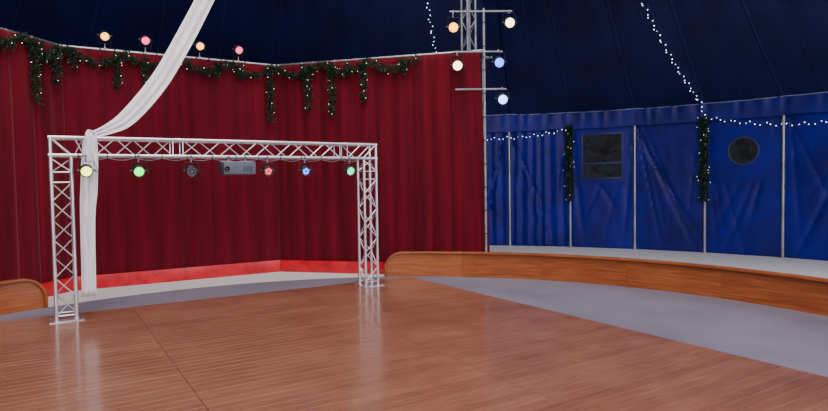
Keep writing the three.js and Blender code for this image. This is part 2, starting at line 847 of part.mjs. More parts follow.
const portalFoot = boardsTop + seatGap;
const portalTop = portalFoot + portalHeight;
const portalY = portalFrontY + trussWidth / 2;
const beamUnderside = portalTop - trussWidth;
const portalLampPlaces = [-1820, -1145, -420, 750, 1385, 2200];
const firstLampForward = 220;   // the first lamp hangs on an arm that passes beside the drape, and in front of it
const firstLampAside = 80;
const lampArmHeight = 16;
const legPlate = { width: 420, thickness: 10 };
const hanger = { width: 40, depth: 30, plate: 8, lap: 10 };
const projector = { x: 265, width: 490, depth: 360, height: 200, top: 2220 };
const projectorLens = { aside: -200, below: 75, forward: 30, radius: 38 };

const portalLeg = () => joined([
  lattice(trussWidth, portalHeight - trussWidth - seatGap, trussPlate, trussPitch),
  box(legPlate.width, legPlate.width, legPlate.thickness, 0, 0, legPlate.thickness / 2),
]);

const portalBeam = () => {
  const beam = lattice(trussWidth, portalWidth, trussPlate, trussPitch)
    .rotateY(Math.PI / 2)
    .translate(portalMiddleX - portalWidth / 2, portalY, portalTop - trussWidth / 2);
  const carrierY = portalFrontY + trussPlate / 2;
  const hangerHeight = beamUnderside + hanger.lap - projector.top;
  const armZ = beamUnderside + lampArmHeight / 2 - 2;
  return joined([
    beam,
    ...portalLampPlaces.flatMap((x, i) => hangLamp(
      `portal_lamp_${i + 1}`,
      'portal',
      new THREE.Vector3(x, carrierY - (i === 0 ? firstLampForward : 0), portalLampHeight),
      0,
      15 * degrees,
      1,
      beamUnderside + yokeLap,
    )),
    box(
      yokeWidth,
      firstLampForward + yokeWidth,
      lampArmHeight,
      portalLampPlaces[0] - firstLampAside,
      carrierY - firstLampForward / 2,
      armZ,
    ),
    box(
      firstLampAside + yokeWidth,
      yokeWidth,
      lampArmHeight,
      portalLampPlaces[0] - firstLampAside / 2,
      carrierY - firstLampForward,
      armZ,
    ),
    box(projector.width, hanger.width, hanger.plate, projector.x, carrierY, projector.top + hanger.plate / 2),
    box(hanger.width, hanger.depth, hangerHeight, projector.x, carrierY, projector.top + hangerHeight / 2),
  ]);
};

const projectorBox = () => joined([
  box(
    projector.width,
    projector.depth,
    projector.height,
    projector.x,
    portalFrontY + trussPlate / 2,
    projector.top - seatGap - projector.height / 2,
  ),
  bar(
    new THREE.Vector3(
      projector.x + projectorLens.aside,
      portalFrontY + trussPlate / 2 - projector.depth / 2 - projectorLens.forward,
      projector.top - projectorLens.below,
    ),
    new THREE.Vector3(projector.x + projectorLens.aside, portalFrontY, projector.top - projectorLens.below),
    projectorLens.radius,
    12,
  ),
]);

// The drape: a band of voile from the ridge, gathered over the beam and hanging in front of it.
// Each point also has half the band's width there.
const drapeHalfDepth = 25;
const drapeNarrow = 45;
const drapeHalfWidth = 130;
const drapeX = -1710;
const drapeFrontY = portalFrontY - 50;
const drapeCross = portalTop + 0.4 + drapeNarrow;   // behind the beam, where the band stands on edge
const drapeBend = portalTop + 14.5;                 // at the beam's front edge, where it lies flat
const drapeTop = onSquare(ridgeHalfSide, poleAngle(2));
const drapeTopY = ridgeHalfSide - 15;
const drapeTopZ = drapeTop.z - ridgeCableRadius - seatGap;
const drapePath = [
  [drapeTop.x, drapeTopY, drapeTopZ, drapeNarrow],
  [drapeTop.x + 6, drapeTopY, drapeTopZ - 100, drapeNarrow],   // square to the cable's slope
  [1215, 5350, 7600, 110],
  [750, 5345, 6400, drapeHalfWidth],
  [-4, 5330, 4856, drapeHalfWidth],
  [-360, 5290, 4155, drapeHalfWidth],
  [-747, 5220, 3474, drapeHalfWidth],
  [-1195, 5120, 2910, 115],
  [-1470, 5060, 2712, 75],
  [drapeX, 5030, drapeCross, drapeNarrow],
  [drapeX, drapeFrontY, drapeBend, drapeNarrow],
  [drapeX - 25, drapeFrontY, 2300, 90],
  [drapeX - 55, drapeFrontY, 1850, 98],
  [drapeX - 95, drapeFrontY, 1400, 86],
  [drapeX - 115, drapeFrontY, 350, 82],
];

const drapeSwag = () => {
  const points = drapePath.map(([x, y, z]) => new THREE.Vector3(x, y, z));
  const headings = points.slice(1).map((end, i) => end.clone().sub(points[i]).normalize());
  const sides = 8;
  const positions = points.flatMap((point, i) => {
    const heading = headings[Math.max(i - 1, 0)].clone().add(headings[Math.min(i, headings.length - 1)]).normalize();
    const across = heading.clone().cross(new THREE.Vector3(0, 1, 0)).normalize();
    const through = heading.clone().cross(across);
    return Array.from({ length: sides }, (_, side) => {
      const turn = 2 * Math.PI * side / sides;
      return point.clone()
        .addScaledVector(across, Math.cos(turn) * drapePath[i][3])
        .addScaledVector(through, Math.sin(turn) * drapeHalfDepth)
        .toArray();
    }).flat();
  });
  return closedTube(positions, points.length, sides);
};

// Strings of lights: slanting down the roof to a side pole, then from hook to hook under the eave.
// The slant is how many bays nearer to the back a string would start, at the ridge.
const wireBelowRoof = 50;
const wireTopBelowRoof = 90;
const roofShares = [0.12, 0.25, 0.5, 0.75, 1];
const frontStringSlant = 0.87;
const backStringSlant = 0.41;

const lightString = (side, pole, slant, heights) => {
  const roofPoints = roofShares.map((share, i) => {
    const point = roofPoint(side * (pole - slant * (1 - share)), share);
    point.z -= sheetThickness + (i === 0 ? wireTopBelowRoof : wireBelowRoof);
    return point;
  });
  const hooks = Object.entries(heights).map(([index, height]) => (
    around(wireRingRadius, poleAngle(side * Number(index)), height)
  ));
  const outward = around(1, poleAngle(side * pole));
  const eaveEnd = roofPoints.pop();
  const lastInside = roofPoints.at(-1);
  const share = (wireRingRadius - lastInside.dot(outward)) / (eaveEnd.dot(outward) - lastInside.dot(outward));
  const turnPoint = lastInside.clone().lerp(eaveEnd, share);
  return cableThrough([...roofPoints, turnPoint, ...hooks], wireRadius, 6);
};

// Building the section

addPiece('ring_mat', ringMat(), 'mat');
addPiece('dance_floor', danceFloor(), 'boards');

const leftHalf = leftAngles.length >> 1;
const rightHalf = rightAngles.length >> 1;
const seamTurn = seatGap / ringRadius / 2;
const leftOuter = [...leftAngles.slice(0, leftHalf), leftAngles[leftHalf] - seamTurn];
const leftInner = [leftAngles[leftHalf] + seamTurn, ...leftAngles.slice(leftHalf + 1)];
const rightInner = [...rightAngles.slice(0, rightHalf), rightAngles[rightHalf] - seamTurn];
const rightOuter = [rightAngles[rightHalf] + seamTurn, ...rightAngles.slice(rightHalf + 1)];
addPiece('ring_fence_left_front', fence(leftOuter, []), 'ply');
addPiece('ring_fence_left_back', fence(leftInner, [endRounding(gapAngleLeft * degrees, 1)]), 'ply');
addPiece('ring_fence_right_back', fence(rightInner, [endRounding(gapAngleRight * degrees, -1)]), 'ply');
addPiece('ring_fence_right_front', fence(rightOuter, []), 'ply');

const panels = [['left_front', -13, -6], ['left_back', -6, 0], ['right_back', 0, 6], ['right_front', 6, 13]];
panels.forEach(([place, first, last]) => {
  const holes = wallHoles
    .filter(([index]) => index > first && index < last)
    .map(([index, hole]) => hole(index, 0));
  const wall = wallPanel(first, last);
  addPiece(`side_wall_${place}`, holes.length ? cutBy(wall, holes) : wall, 'canvas');
  addPiece(`roof_${place}`, roofPanel(first, last), 'roof');
});
[['left_front', -13, -7], ['left_back', -6, -1], ['right_back', 0, 6], ['right_front', 7, 13]]
  .forEach(([place, first, last]) => {
    addPiece(`side_poles_${place}`, sideFrame(first, last), 'galvanised');
  });
[['left', -1], ['right', 1]].forEach(([name, side]) => {
  addPiece(`wall_window_${name}`, windowPane(side * windowIndex), 'pane');
  addPiece(`wall_port_${name}`, portPane(side * portIndex), 'pane');
  addPiece(`king_pole_${name}`, kingPole(side), 'steel').position.set(side * kingPoleOffset, kingPoleOffset, 0);
  addPiece(`light_string_front_${name}`, lightString(side, 9, frontStringSlant, frontWireHeights), 'wire');
  addPiece(`light_string_back_${name}`, lightString(side, 5, backStringSlant, backWireHeights), 'wire');
});
addPiece('ridge_cable', ridgeCable(), 'galvanised');

addPiece('curtain_rail', curtainRail(), 'steel');
addPiece('curtain_wing_left', curtain(0, curtainEnd, curtainInset, 0, 1), 'curtain');
addPiece('curtain_back_left', curtain(1, curtainInset, curtainParting, 0, 0.5), 'curtain');
addPiece('curtain_back_right', curtain(1, curtainParting, curtainInset, 0.5, 1), 'curtain');
addPiece('curtain_wing_right', curtain(2, curtainInset, curtainEnd, 0, 1), 'curtain');
addPiece('curtain_plinth', curtainPlinth(), 'plinth');
addPiece('rail_garland', railGarland(), 'garland');

addPiece('lamp_mast', lampMast(), 'steel');
const legX = portalWidth / 2 - trussWidth / 2;
addPiece('portal_leg_left', portalLeg(), 'steel').position.set(portalMiddleX - legX, portalY, portalFoot);
addPiece('portal_leg_right', portalLeg(), 'steel').position.set(portalMiddleX + legX, portalY, portalFoot);
addPiece('portal_beam', portalBeam(), 'steel');
addPiece('projector', projectorBox(), 'black');
addPiece('drape_swag', drapeSwag(), 'voile');

lamps.forEach(({ name, size, place, turn, tilt }) => {
  const stand = new THREE.Group();
  stand.position.copy(place);
  stand.rotation.z = turn;
  tent.add(stand);
  addPiece(name, lampCan(lampSizes[size]), 'black', stand).rotation.x = tilt;
});

export default tent;
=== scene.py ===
import math
import random

import bmesh
import bpy
from mathutils import Matrix, Vector, noise


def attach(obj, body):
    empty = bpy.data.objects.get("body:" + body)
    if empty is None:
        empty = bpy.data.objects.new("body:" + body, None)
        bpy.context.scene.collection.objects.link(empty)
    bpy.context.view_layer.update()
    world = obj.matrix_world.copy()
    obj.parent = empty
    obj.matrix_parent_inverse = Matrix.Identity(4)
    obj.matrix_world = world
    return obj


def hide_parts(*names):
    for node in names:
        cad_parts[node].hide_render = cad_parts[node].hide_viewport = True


# Metres, +Z up. The origin is the middle of the ring, and +Y points to the back curtain.
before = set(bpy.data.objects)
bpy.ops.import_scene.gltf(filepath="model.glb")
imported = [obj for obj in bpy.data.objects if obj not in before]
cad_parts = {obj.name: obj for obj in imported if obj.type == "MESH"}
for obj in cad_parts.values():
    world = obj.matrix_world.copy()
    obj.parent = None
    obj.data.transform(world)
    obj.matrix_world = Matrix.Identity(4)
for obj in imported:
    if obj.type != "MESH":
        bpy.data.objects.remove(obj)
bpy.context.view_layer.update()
print("frame loaded:", len(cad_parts), "nodes")

tent = {
    "poleCount": 46,          # side poles in the whole round tent
    "lastPole": 13,
    "poleRing": 12.42,
    "poleRadius": 0.038,
    "poleTop": 3.56,
    "eaveRadius": 12.56,
    "eaveHeight": 3.6,
    "wallRing": 12.4598,      # middle of the wall, at a pole
    "wallTop": 3.4,
    "ridgeHalf": 5.3823,      # half the side of the square of ridge cables
    "ridgeTop": 9.0,
    "ridgeSag": 0.6,
    "roofSag": 0.25,
    "roofThickness": 0.003,
    "kingOffset": 5.23,       # of the king poles, in x and in y
    "wireRing": 12.342,       # of the strings of lights under the eave
}
bay = 2 * math.pi / tent["poleCount"]
upward = Vector((0, 0, 1))


# Materials

def linear(code):
    values = [int(code[i:i + 2], 16) / 255 for i in (1, 3, 5)]
    return [v / 12.92 if v <= 0.04045 else ((v + 0.055) / 1.055) ** 2.4 for v in values] + [1.0]


def newMaterial(name, colour, roughness, **constants):
    material = bpy.data.materials.new(name)
    material.use_nodes = True
    shader = material.node_tree.nodes["Principled BSDF"]
    shader.inputs["Base Color"].default_value = linear(colour)
    shader.inputs["Roughness"].default_value = roughness
    for key, value in constants.items():
        socket = shader.inputs[key.replace("_", " ")]
        socket.default_value = linear(value) if isinstance(value, str) else value
    return material


# Adds a node with its settings and links, and returns one of its outputs
def addNode(material, kind, output, settings=None, links=None):
    tree = material.node_tree
    node = tree.nodes.new("ShaderNode" + kind)
    for key, value in (settings or {}).items():
        if isinstance(key, int) or key in node.inputs:
            node.inputs[key].default_value = value
        else:
            setattr(node, key, value)
    for key, source in (links or {}).items():
        tree.links.new(source, node.inputs[key])
    return node.outputs[output]


def coordinates(material, onCloth=False, stretch=(1, 1, 1)):
    if onCloth:
        place = addNode(material, "UVMap", "UV", {"uv_map": "UVMap"})
    else:
        place = addNode(material, "TexCoord", "Object")
    return {"Vector": addNode(material, "Mapping", "Vector", {"Scale": stretch}, {"Vector": place})}


# Gives a finish its colours along a mask, its relief and its range of roughness
def dressSurface(material, mask, colours, height, depth, strength, roughness=None):
    ramp = addNode(material, "ValToRGB", "Color", links={"Fac": mask})
    stops = ramp.node.color_ramp.elements
    stops[0].position, stops[0].color = colours[0][0], linear(colours[0][1])
    stops[1].position, stops[1].color = colours[-1][0], linear(colours[-1][1])
    for position, code in colours[1:-1]:
        stops.new(position).color = linear(code)
    bump = addNode(material, "Bump", "Normal", {"Distance": depth, "Strength": strength}, {"Height": height})
    sources = {"Base Color": ramp, "Normal": bump}
    if roughness:
        source, low, high = roughness
        sources["Roughness"] = addNode(material, "MapRange", "Result", {"To Min": low, "To Max": high},
                                       {"Value": source})
    for key, source in sources.items():
        material.node_tree.links.new(source, material.node_tree.nodes["Principled BSDF"].inputs[key])
    return material


# The scale of a pattern is one over its size in metres
def coatedCanvas(name, light, dark, roughness, grime):
    # woven polyester coated with PVC: a faint cloth grain under a satin skin, with patchy scuffs
    material = newMaterial(name, light, roughness, Specular_IOR_Level=0.28)
    place = coordinates(material)
    patches = addNode(material, "TexNoise", "Fac", {"Scale": 1 / 1.1, "Detail": 5, "Roughness": 0.62}, place)
    scuffs = addNode(material, "TexNoise", "Fac", {"Scale": 1 / 0.09, "Detail": 6, "Roughness": 0.7}, place)
    # threads are 1 mm apart; drawn 12 mm apart so that they show at this distance
    grain = addNode(material, "TexVoronoi", "Distance", {"Scale": 1 / 0.012}, place)
    creases = addNode(material, "TexNoise", "Fac", {"Scale": 1 / 0.35, "Detail": 4}, place)
    height = addNode(material, "Math", "Value", {"operation": "MULTIPLY_ADD", 1: 0.05},
                     {0: grain, 2: creases})
    return dressSurface(material, patches, [(0.3, dark), (0.62, light)], height, 0.012, 0.5,
                        (scuffs, roughness - 0.1, roughness + grime))


def metalTube(name, light, dark, roughness, spangle):
    # hot dip galvanised or milled tube: dull grey with crystals or faint draw marks
    material = newMaterial(name, light, roughness, Metallic=0.9)
    place = coordinates(material)
    crystals = addNode(material, "TexVoronoi", "Distance", {"Scale": 1 / spangle}, place)
    cloud = addNode(material, "TexNoise", "Fac", {"Scale": 1 / 0.4, "Detail": 5}, place)
    both = addNode(material, "Math", "Value", {"operation": "MULTIPLY_ADD", 1: 0.35}, {0: crystals, 2: cloud})
    return dressSurface(material, both, [(0.35, dark), (0.75, light)], crystals, 0.0008, 0.25,
                        (cloud, roughness - 0.08, roughness + 0.15))


def woodGrain(name, colours, roughness, grain, length, coat, toneShare):
    # long grain along the first UV axis, under varnish; each board has a tone of its own
    material = newMaterial(name, colours[-1][1], roughness, Coat_Weight=coat, Coat_Roughness=0.12)
    tone = addNode(material, "Attribute", "Fac", {"attribute_name": "tone"})
    along = coordinates(material, True, (1 / length, 1 / grain, 1))["Vector"]
    spread = addNode(material, "VectorMath", "Vector", {"operation": "SCALE", 0: (37, 19, 7)},
                     {"Scale": tone})
    shifted = addNode(material, "VectorMath", "Vector", {"operation": "ADD"}, {0: along, 1: spread})
    fibres = addNode(material, "TexNoise", "Fac",
                     {"Scale": 1, "Detail": 7, "Roughness": 0.6, "Distortion": 0.4}, {"Vector": shifted})
    mixed = addNode(material, "Math", "Value", {"operation": "MULTIPLY_ADD", 1: toneShare},
                    {0: tone, 2: fibres})
    wear = addNode(material, "TexNoise", "Fac", {"Scale": 1 / 0.8, "Detail": 6}, coordinates(material))
    worn = addNode(material, "Math", "Value", {"operation": "MULTIPLY_ADD", 1: 0.3}, {0: wear, 2: mixed})
    return dressSurface(material, worn, colours, fibres, 0.0015, 0.3,
                        (wear, roughness - 0.1, roughness + 0.22))


def velvet(name, light, dark):
    # cotton velvet: a deep pile that is pale at its edges and nearly black in the folds
    material = newMaterial(name, light, 0.9, Sheen_Weight=0.3, Sheen_Roughness=0.4, Sheen_Tint="#ff8c94",
                           Specular_IOR_Level=0.15)
    crush = addNode(material, "TexNoise", "Fac", {"Scale": 1 / 0.22, "Detail": 4},
                    coordinates(material, True, (1, 0.07, 1)))
    # the pile is under 1 mm; drawn 6 mm so that it shows
    pile = addNode(material, "TexNoise", "Fac", {"Scale": 1 / 0.006, "Detail": 3},
                   coordinates(material, True))
    return dressSurface(material, crush, [(0.25, dark), (0.75, light)], pile, 0.002, 0.35)


def feltMat(name, light, dark):
    # needle felt carpet: matt, trodden darker in places, with short fibres
    material = newMaterial(name, light, 0.95, Sheen_Weight=0.25, Sheen_Roughness=0.6, Specular_IOR_Level=0.2)
    place = coordinates(material)
    trodden = addNode(material, "TexNoise", "Fac", {"Scale": 1 / 1.6, "Detail": 7, "Roughness": 0.6}, place)
    fibres = addNode(material, "TexNoise", "Fac", {"Scale": 1 / 0.012, "Detail": 4}, place)
    return dressSurface(material, trodden, [(0.3, dark), (0.65, light)], fibres, 0.004, 0.6)


def paint(name, light, dark, roughness, metal=0):
    # brushed on gloss or powder coat: even, with faint orange peel and rubbed patches
    material = newMaterial(name, light, roughness, Metallic=metal)
    place = coordinates(material)
    rubbed = addNode(material, "TexNoise", "Fac", {"Scale": 1 / 0.25, "Detail": 6, "Roughness": 0.65}, place)
    peel = addNode(material, "TexNoise", "Fac", {"Scale": 1 / 0.01, "Detail": 2}, place)
    return dressSurface(material, rubbed, [(0.32, dark), (0.6, light)], peel, 0.0006, 0.3,
                        (rubbed, roughness - 0.1, roughness + 0.15))


def leaves(name, light, dark):
    # plastic fir and ivy: waxy dark green, each sprig a little different
    material = newMaterial(name, light, 0.5, Specular_IOR_Level=0.35)
    tone = addNode(material, "Attribute", "Fac", {"attribute_name": "tone"})
    veins = addNode(material, "TexNoise", "Fac", {"Scale": 1 / 0.03, "Detail": 4}, coordinates(material))
    both = addNode(material, "Math", "Value", {"operation": "MULTIPLY_ADD", 1: 0.5}, {0: tone, 2: veins})
    return dressSurface(material, both, [(0.4, dark), (0.95, light)], veins, 0.003, 0.5)


def voile(name, light, dark):
    # sheer polyester voile, several layers thick where it is gathered: milky, with a soft shine
    material = newMaterial(name, light, 0.6, Alpha=0.93, Sheen_Weight=0.3, Sheen_Roughness=0.3,
                           Subsurface_Weight=0.25, Subsurface_Radius=(0.03, 0.03, 0.04))
    layers = addNode(material, "TexNoise", "Fac", {"Scale": 1 / 0.05, "Detail": 5},
                     coordinates(material, True, (1, 0.12, 1)))
    # threads are 0.4 mm apart; drawn 19 mm apart, as a wave repeats every 0.314 of its size
    weave = addNode(material, "TexWave", "Fac", {"Scale": 1 / 0.06, "Distortion": 1},
                    coordinates(material, True))
    return dressSurface(material, layers, [(0.3, dark), (0.6, light)], weave, 0.001, 0.25)


def rope(name, light, dark, lay):
    # stranded rope or wire: slanting ridges along the line, with painted shade in the grooves between strands
    # and painted highlight on their ridges
    material = newMaterial(name, light, 0.7)
    settings = {"Scale": 1 / lay, "bands_direction": "DIAGONAL", "Distortion": 2}
    strandRidgesAndGrooveShade = addNode(material, "TexWave", "Fac", settings, coordinates(material))
    return dressSurface(material, strandRidgesAndGrooveShade, [(0.2, dark), (0.7, light)], strandRidgesAndGrooveShade, 0.002, 0.6)


def meshScreen(name, light, dark):
    # insect mesh over a closed flap: a dark open weave, with painted highlight and shade along its folds; the
    # real mesh is 1.5 mm, drawn 14 mm
    material = newMaterial(name, dark, 0.75, Specular_IOR_Level=0.3)
    place = coordinates(material)
    cells = addNode(material, "TexVoronoi", "Distance",
                    {"Scale": 1 / 0.014, "feature": "DISTANCE_TO_EDGE", "Randomness": 0.25}, place)
    folds = addNode(material, "TexNoise", "Fac", {"Scale": 1 / 0.3, "Detail": 5, "Distortion": 1.5}, place)
    # the fold noise sets the colour as well as the bump: painted highlight and shade on the mesh's folds
    both = addNode(material, "Math", "Value", {"operation": "MULTIPLY_ADD", 1: 0.8}, {0: cells, 2: folds})
    return dressSurface(material, both, [(0.4, dark), (0.8, light)], both, 0.01, 0.6)


def litLens(name, colour, glow, strength):
    # ribbed lens lit from behind by its lamp, brightest in the middle
    material = newMaterial(name, colour, 0.2, Emission_Color=glow, Emission_Strength=strength)
    ribs = addNode(material, "TexVoronoi", "Distance", {"Scale": 1 / 0.018}, coordinates(material))
    return dressSurface(material, ribs, [(0.1, colour), (0.9, glow)], ribs, 0.003, 0.5)


finishes = {
    "wallCanvas": coatedCanvas("royal_blue_pvc_canvas", "#110f86", "#0b0a5a", 0.42, 0.2),
    "roofCanvas": coatedCanvas("midnight_blue_pvc_canvas", "#12154f", "#0b0e3a", 0.5, 0.2),
    "valance": coatedCanvas("royal_blue_valance", "#1d2084", "#101254", 0.45, 0.2),
    "piping": coatedCanvas("pale_blue_piping", "#8f97c4", "#5c64a0", 0.45, 0.2),
    "belt": coatedCanvas("navy_webbing", "#171c56", "#0e123c", 0.7, 0.1),
    "galvanised": metalTube("galvanised_steel_tube", "#a9adb5", "#777c85", 0.42, 0.02),
    "mastPaint": paint("silver_mast_paint", "#8f919b", "#666872", 0.42, 0.3),
    "railPipe": metalTube("pale_steel_pipe", "#c9cad0", "#a3a5ad", 0.35, 0.03),
    "truss": metalTube("milled_aluminium_truss", "#e3e3ea", "#c2c2ca", 0.3, 0.012),
    "boltSteel": metalTube("zinc_plated_bolts", "#9a9ca2", "#6d6f75", 0.35, 0.01),
    "fencePly": woodGrain("varnished_orange_plywood",
                          [(0.45, "#7c3c1c"), (0.7, "#9c5228"), (0.95, "#b36a3c")],
                          roughness=0.38, grain=0.03, length=0.6, coat=0.25, toneShare=0.12),
    "boards": woodGrain("varnished_floor_boards",
                        [(0.4, "#5d382c"), (0.68, "#835342"), (0.95, "#a2705a")],
                        roughness=0.3, grain=0.007, length=0.32, coat=0.4, toneShare=0.1),
    "mat": feltMat("grey_lilac_felt_mat", "#5f5370", "#423855"),
    "curtain": velvet("crimson_cotton_velvet", "#6c0c20", "#440716"),
    "plinth": paint("red_gloss_plinth_paint", "#d0182a", "#a80f20", 0.35),
    "leaf": leaves("dark_green_garland", "#21402a", "#07140c"),
    "voile": voile("white_voile", "#f1edf6", "#d2cbe0"),
    "hem": voile("white_voile_hem", "#ffffff", "#ece6f4"),
    "lampBlack": paint("black_lamp_powder_coat", "#26262b", "#141417", 0.5),
    "lampGrey": paint("grey_lamp_plastic", "#7d7f88", "#5c5e66", 0.4),
    "wire": paint("dark_lead_plastic", "#1b2a3a", "#0f1822", 0.5),
    "guyRope": rope("polyester_guy_rope", "#d9d5c6", "#9b9787", 0.05),
    "wireRope": rope("galvanised_wire_rope", "#a9adb5", "#5f636b", 0.04),
    "screen": meshScreen("dark_window_mesh", "#2a2f3c", "#0a0b10"),
    "welt": coatedCanvas("navy_window_welt", "#2b3268", "#191f48", 0.4, 0.2),
    "warmBulb": litLens("warm_white_bulbs", "#fff0dc", "#fff0d8", 3.5),
    "coldBulb": litLens("cold_white_bulbs", "#d6e4ff", "#cfe0ff", 7.0),
    "projectorGrey": paint("light_grey_projector_case", "#5a5c6e", "#45475a", 0.4),
    "glass": newMaterial("dark_coated_glass", "#10131c", 0.08, Coat_Weight=1.0),
}
print("materials made:", len(finishes))


# Pieces

def meshFrom(name, bm):
    mesh = bpy.data.meshes.new(name)
    bm.to_mesh(mesh)
    bm.free()
    return mesh


def addObject(name, data):
    item = bpy.data.objects.new(name, data)
    bpy.context.scene.collection.objects.link(item)
    return item


def newPiece(name, bm, materials, body="tent", replaced=(), smoothUnder=35, outwards=False):
    if outwards:
        bmesh.ops.recalc_face_normals(bm, faces=bm.faces)
    mesh = meshFrom(name, bm)
    for key in materials:
        mesh.materials.append(finishes[key])
    mesh.polygons.foreach_set("use_smooth", [True] * len(mesh.polygons))
    mesh.set_sharp_from_angle(angle=math.radians(smoothUnder))
    piece = addObject(name, mesh)
    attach(piece, body)
    if replaced:
        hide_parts(*replaced)
    return piece


def giveFinish(verts, finish):
    for face in {face for vert in verts for face in vert.link_faces}:
        face.material_index = finish


def rod(bm, start, end, radius, sides=12, finish=0, tip=None):
    start, end = Vector(start), Vector(end)
    along = end - start
    place = Matrix.Translation((start + end) / 2) @ along.to_track_quat("Z", "Y").to_matrix().to_4x4()
    made = bmesh.ops.create_cone(bm, cap_ends=True, segments=sides, radius1=radius,
                                 radius2=radius if tip is None else tip, depth=along.length, matrix=place)
    giveFinish(made["verts"], finish)


# A rod that stands over a point, between two heights
def upright(bm, foot, low, high, radius, sides=12, finish=0, tip=None):
    rod(bm, foot + upward * low, foot + upward * high, radius, sides, finish, tip)


def corners(reach):
    return [(x, y) for x in (-reach, reach) for y in (-reach, reach)]


def bevelEdges(bm, edges, width, segments=2):
    bmesh.ops.bevel(bm, geom=edges, offset=width, offset_type="OFFSET", segments=segments,
                    profile=0.5, affect="EDGES", material=-1)


def block(bm, centre, size, finish=0, bevel=0.0, turn=None, segments=2):
    place = Matrix.Translation(centre) @ (turn or Matrix.Identity(4)) @ Matrix.Diagonal((*size, 1))
    verts = bmesh.ops.create_cube(bm, size=1, matrix=place)["verts"]
    giveFinish(verts, finish)
    if bevel:
        bevelEdges(bm, list({edge for vert in verts for edge in vert.link_edges}), bevel, segments)


def ball(bm, centre, radius, finish=0, detail=1, flat=1):
    place = Matrix.Translation(centre) @ Matrix.Diagonal((1, flat, 1, 1))
    verts = bmesh.ops.create_icosphere(bm, subdivisions=detail, radius=radius, matrix=place)["verts"]
    giveFinish(verts, finish)


# Sweeps a ring of corners along a line, turning it as little as possible
def sweep(bm, points, radius, sides=10, finish=0):
    points = [Vector(point) for point in points]
    headings = [(end - start).normalized() for start, end in zip(points, points[1:])]
    turn = headings[0].to_track_quat("Z", "Y")
    place = Matrix.Translation(points[0]) @ turn.to_matrix().to_4x4()
    circle = bmesh.ops.create_circle(bm, cap_ends=False, segments=sides, radius=radius, matrix=place)
    made = list(circle["verts"])
    first = edges = list({edge for vert in made for edge in vert.link_edges})
    for i, point in enumerate(points[1:], 1):
        heading = (headings[i - 1] + headings[min(i, len(headings) - 1)]).normalized()
        turn = (turn @ upward).normalized().rotation_difference(heading) @ turn
        moved = Matrix.Translation(point) @ turn.to_matrix().to_4x4()
        grown = bmesh.ops.extrude_edge_only(bm, edges=edges)["geom"]
        verts = [item for item in grown if isinstance(item, bmesh.types.BMVert)]
        edges = [item for item in grown if isinstance(item, bmesh.types.BMEdge)]
        bmesh.ops.transform(bm, matrix=moved @ place.inverted(), verts=verts)
        place = moved
        made.extend(verts)
    bmesh.ops.edgeloop_fill(bm, edges=first)
    bmesh.ops.edgeloop_fill(bm, edges=edges)
    giveFinish(made, finish)


# Turns a profile of (radius, distance) points round an axis through a place
def lathe(bm, profile, sides=24, finish=0, axis=(0, 1, 0), centre=(0, 0, 0)):
    kept = set(bm.faces)
    axis, centre = Vector(axis).normalized(), Vector(centre)
    side = axis.orthogonal().normalized()
    verts = [bm.verts.new(centre + side * radius + axis * distance) for radius, distance in profile]
    edges = [bm.edges.new(pair) for pair in zip(verts, verts[1:])]
    bmesh.ops.spin(bm, geom=verts + edges, cent=centre, axis=axis, dvec=(0, 0, 0),
                   angle=2 * math.pi, steps=sides, use_merge=True)
    fresh = [face for face in bm.faces if face not in kept]
    for face in fresh:
        face.material_index = finish
    bmesh.ops.remove_doubles(bm, verts=list({vert for face in fresh for vert in face.verts}), dist=1e-5)


# The profile of a flat ring, closed
def band(inner, outer, half, middle=0):
    low, high = middle - half, middle + half
    return [(inner, low), (outer, low), (outer, high), (inner, high), (inner, low)]


# A point at an angle round the Y axis
def roundY(angle, radius, y=0):
    return Vector((math.cos(angle), 0, math.sin(angle))) * radius + Vector((0, y, 0))


# A sheet of cloth laid out as a grid, with its UV map in metres
def clothGrid(columns, rows, place, size, bm=None):
    bm = bm or bmesh.new()
    uvLayer = bm.loops.layers.uv.get("UVMap") or bm.loops.layers.uv.new("UVMap")
    verts = bmesh.ops.create_grid(bm, x_segments=columns, y_segments=rows, size=0.5)["verts"]
    for face in {face for vert in verts for face in vert.link_faces}:
        for loop in face.loops:
            loop[uvLayer].uv = ((loop.vert.co.x + 0.5) * size[0], (loop.vert.co.y + 0.5) * size[1])
    for vert in verts:
        vert.co = place(vert.co.x + 0.5, vert.co.y + 0.5)
    return bm


# The middle of a cloth's face, in metres on the flat cloth
def flatMiddle(face, uvLayer):
    uvs = [loop[uvLayer].uv for loop in face.loops]
    return [sum(uv[axis] for uv in uvs) / len(uvs) for axis in (0, 1)]


def thicken(piece, thickness):
    modifier = piece.modifiers.new("thickness", "SOLIDIFY")
    modifier.thickness = thickness
    modifier.offset = 0


def smoothStep(value, low, high):
    share = min(max((value - low) / (high - low), 0.0), 1.0)
    return share * share * (3 - 2 * share)


# The tent's own lines

def around(radius, index, z=0.0):
    return Vector((radius * math.sin(index * bay), radius * math.cos(index * bay), z))


def onPolygon(radius, index, z=0.0):
    low = math.floor(index + 1e-9)
    return around(radius, low, z).lerp(around(radius, low + 1, z), index - low)


# The width of a bay on a ring of poles
def chordAt(radius):
    return 2 * math.sin(bay / 2) * radius


def bayNumber(index):
    return min(max(math.floor(index), -tent["lastPole"]), tent["lastPole"] - 1)


def onRidge(index, half=tent["ridgeHalf"]):
    angle = index * bay
    slope = abs(math.tan(angle))
    along = min(slope, 1 / slope) if slope > 1e-9 else 0.0
    z = tent["ridgeTop"] - tent["ridgeSag"] * (1 - along * along)
    if abs(angle) <= math.pi / 4 + 1e-9:
        return Vector((half * math.tan(angle), half, z))
    side = math.copysign(half, angle)
    return Vector((side, side / math.tan(angle), z))


# Carries a part from the origin to a place, turned about the upright
def standing(place, turn):
    return Matrix.Translation(place) @ Matrix.Rotation(turn, 4, "Z")


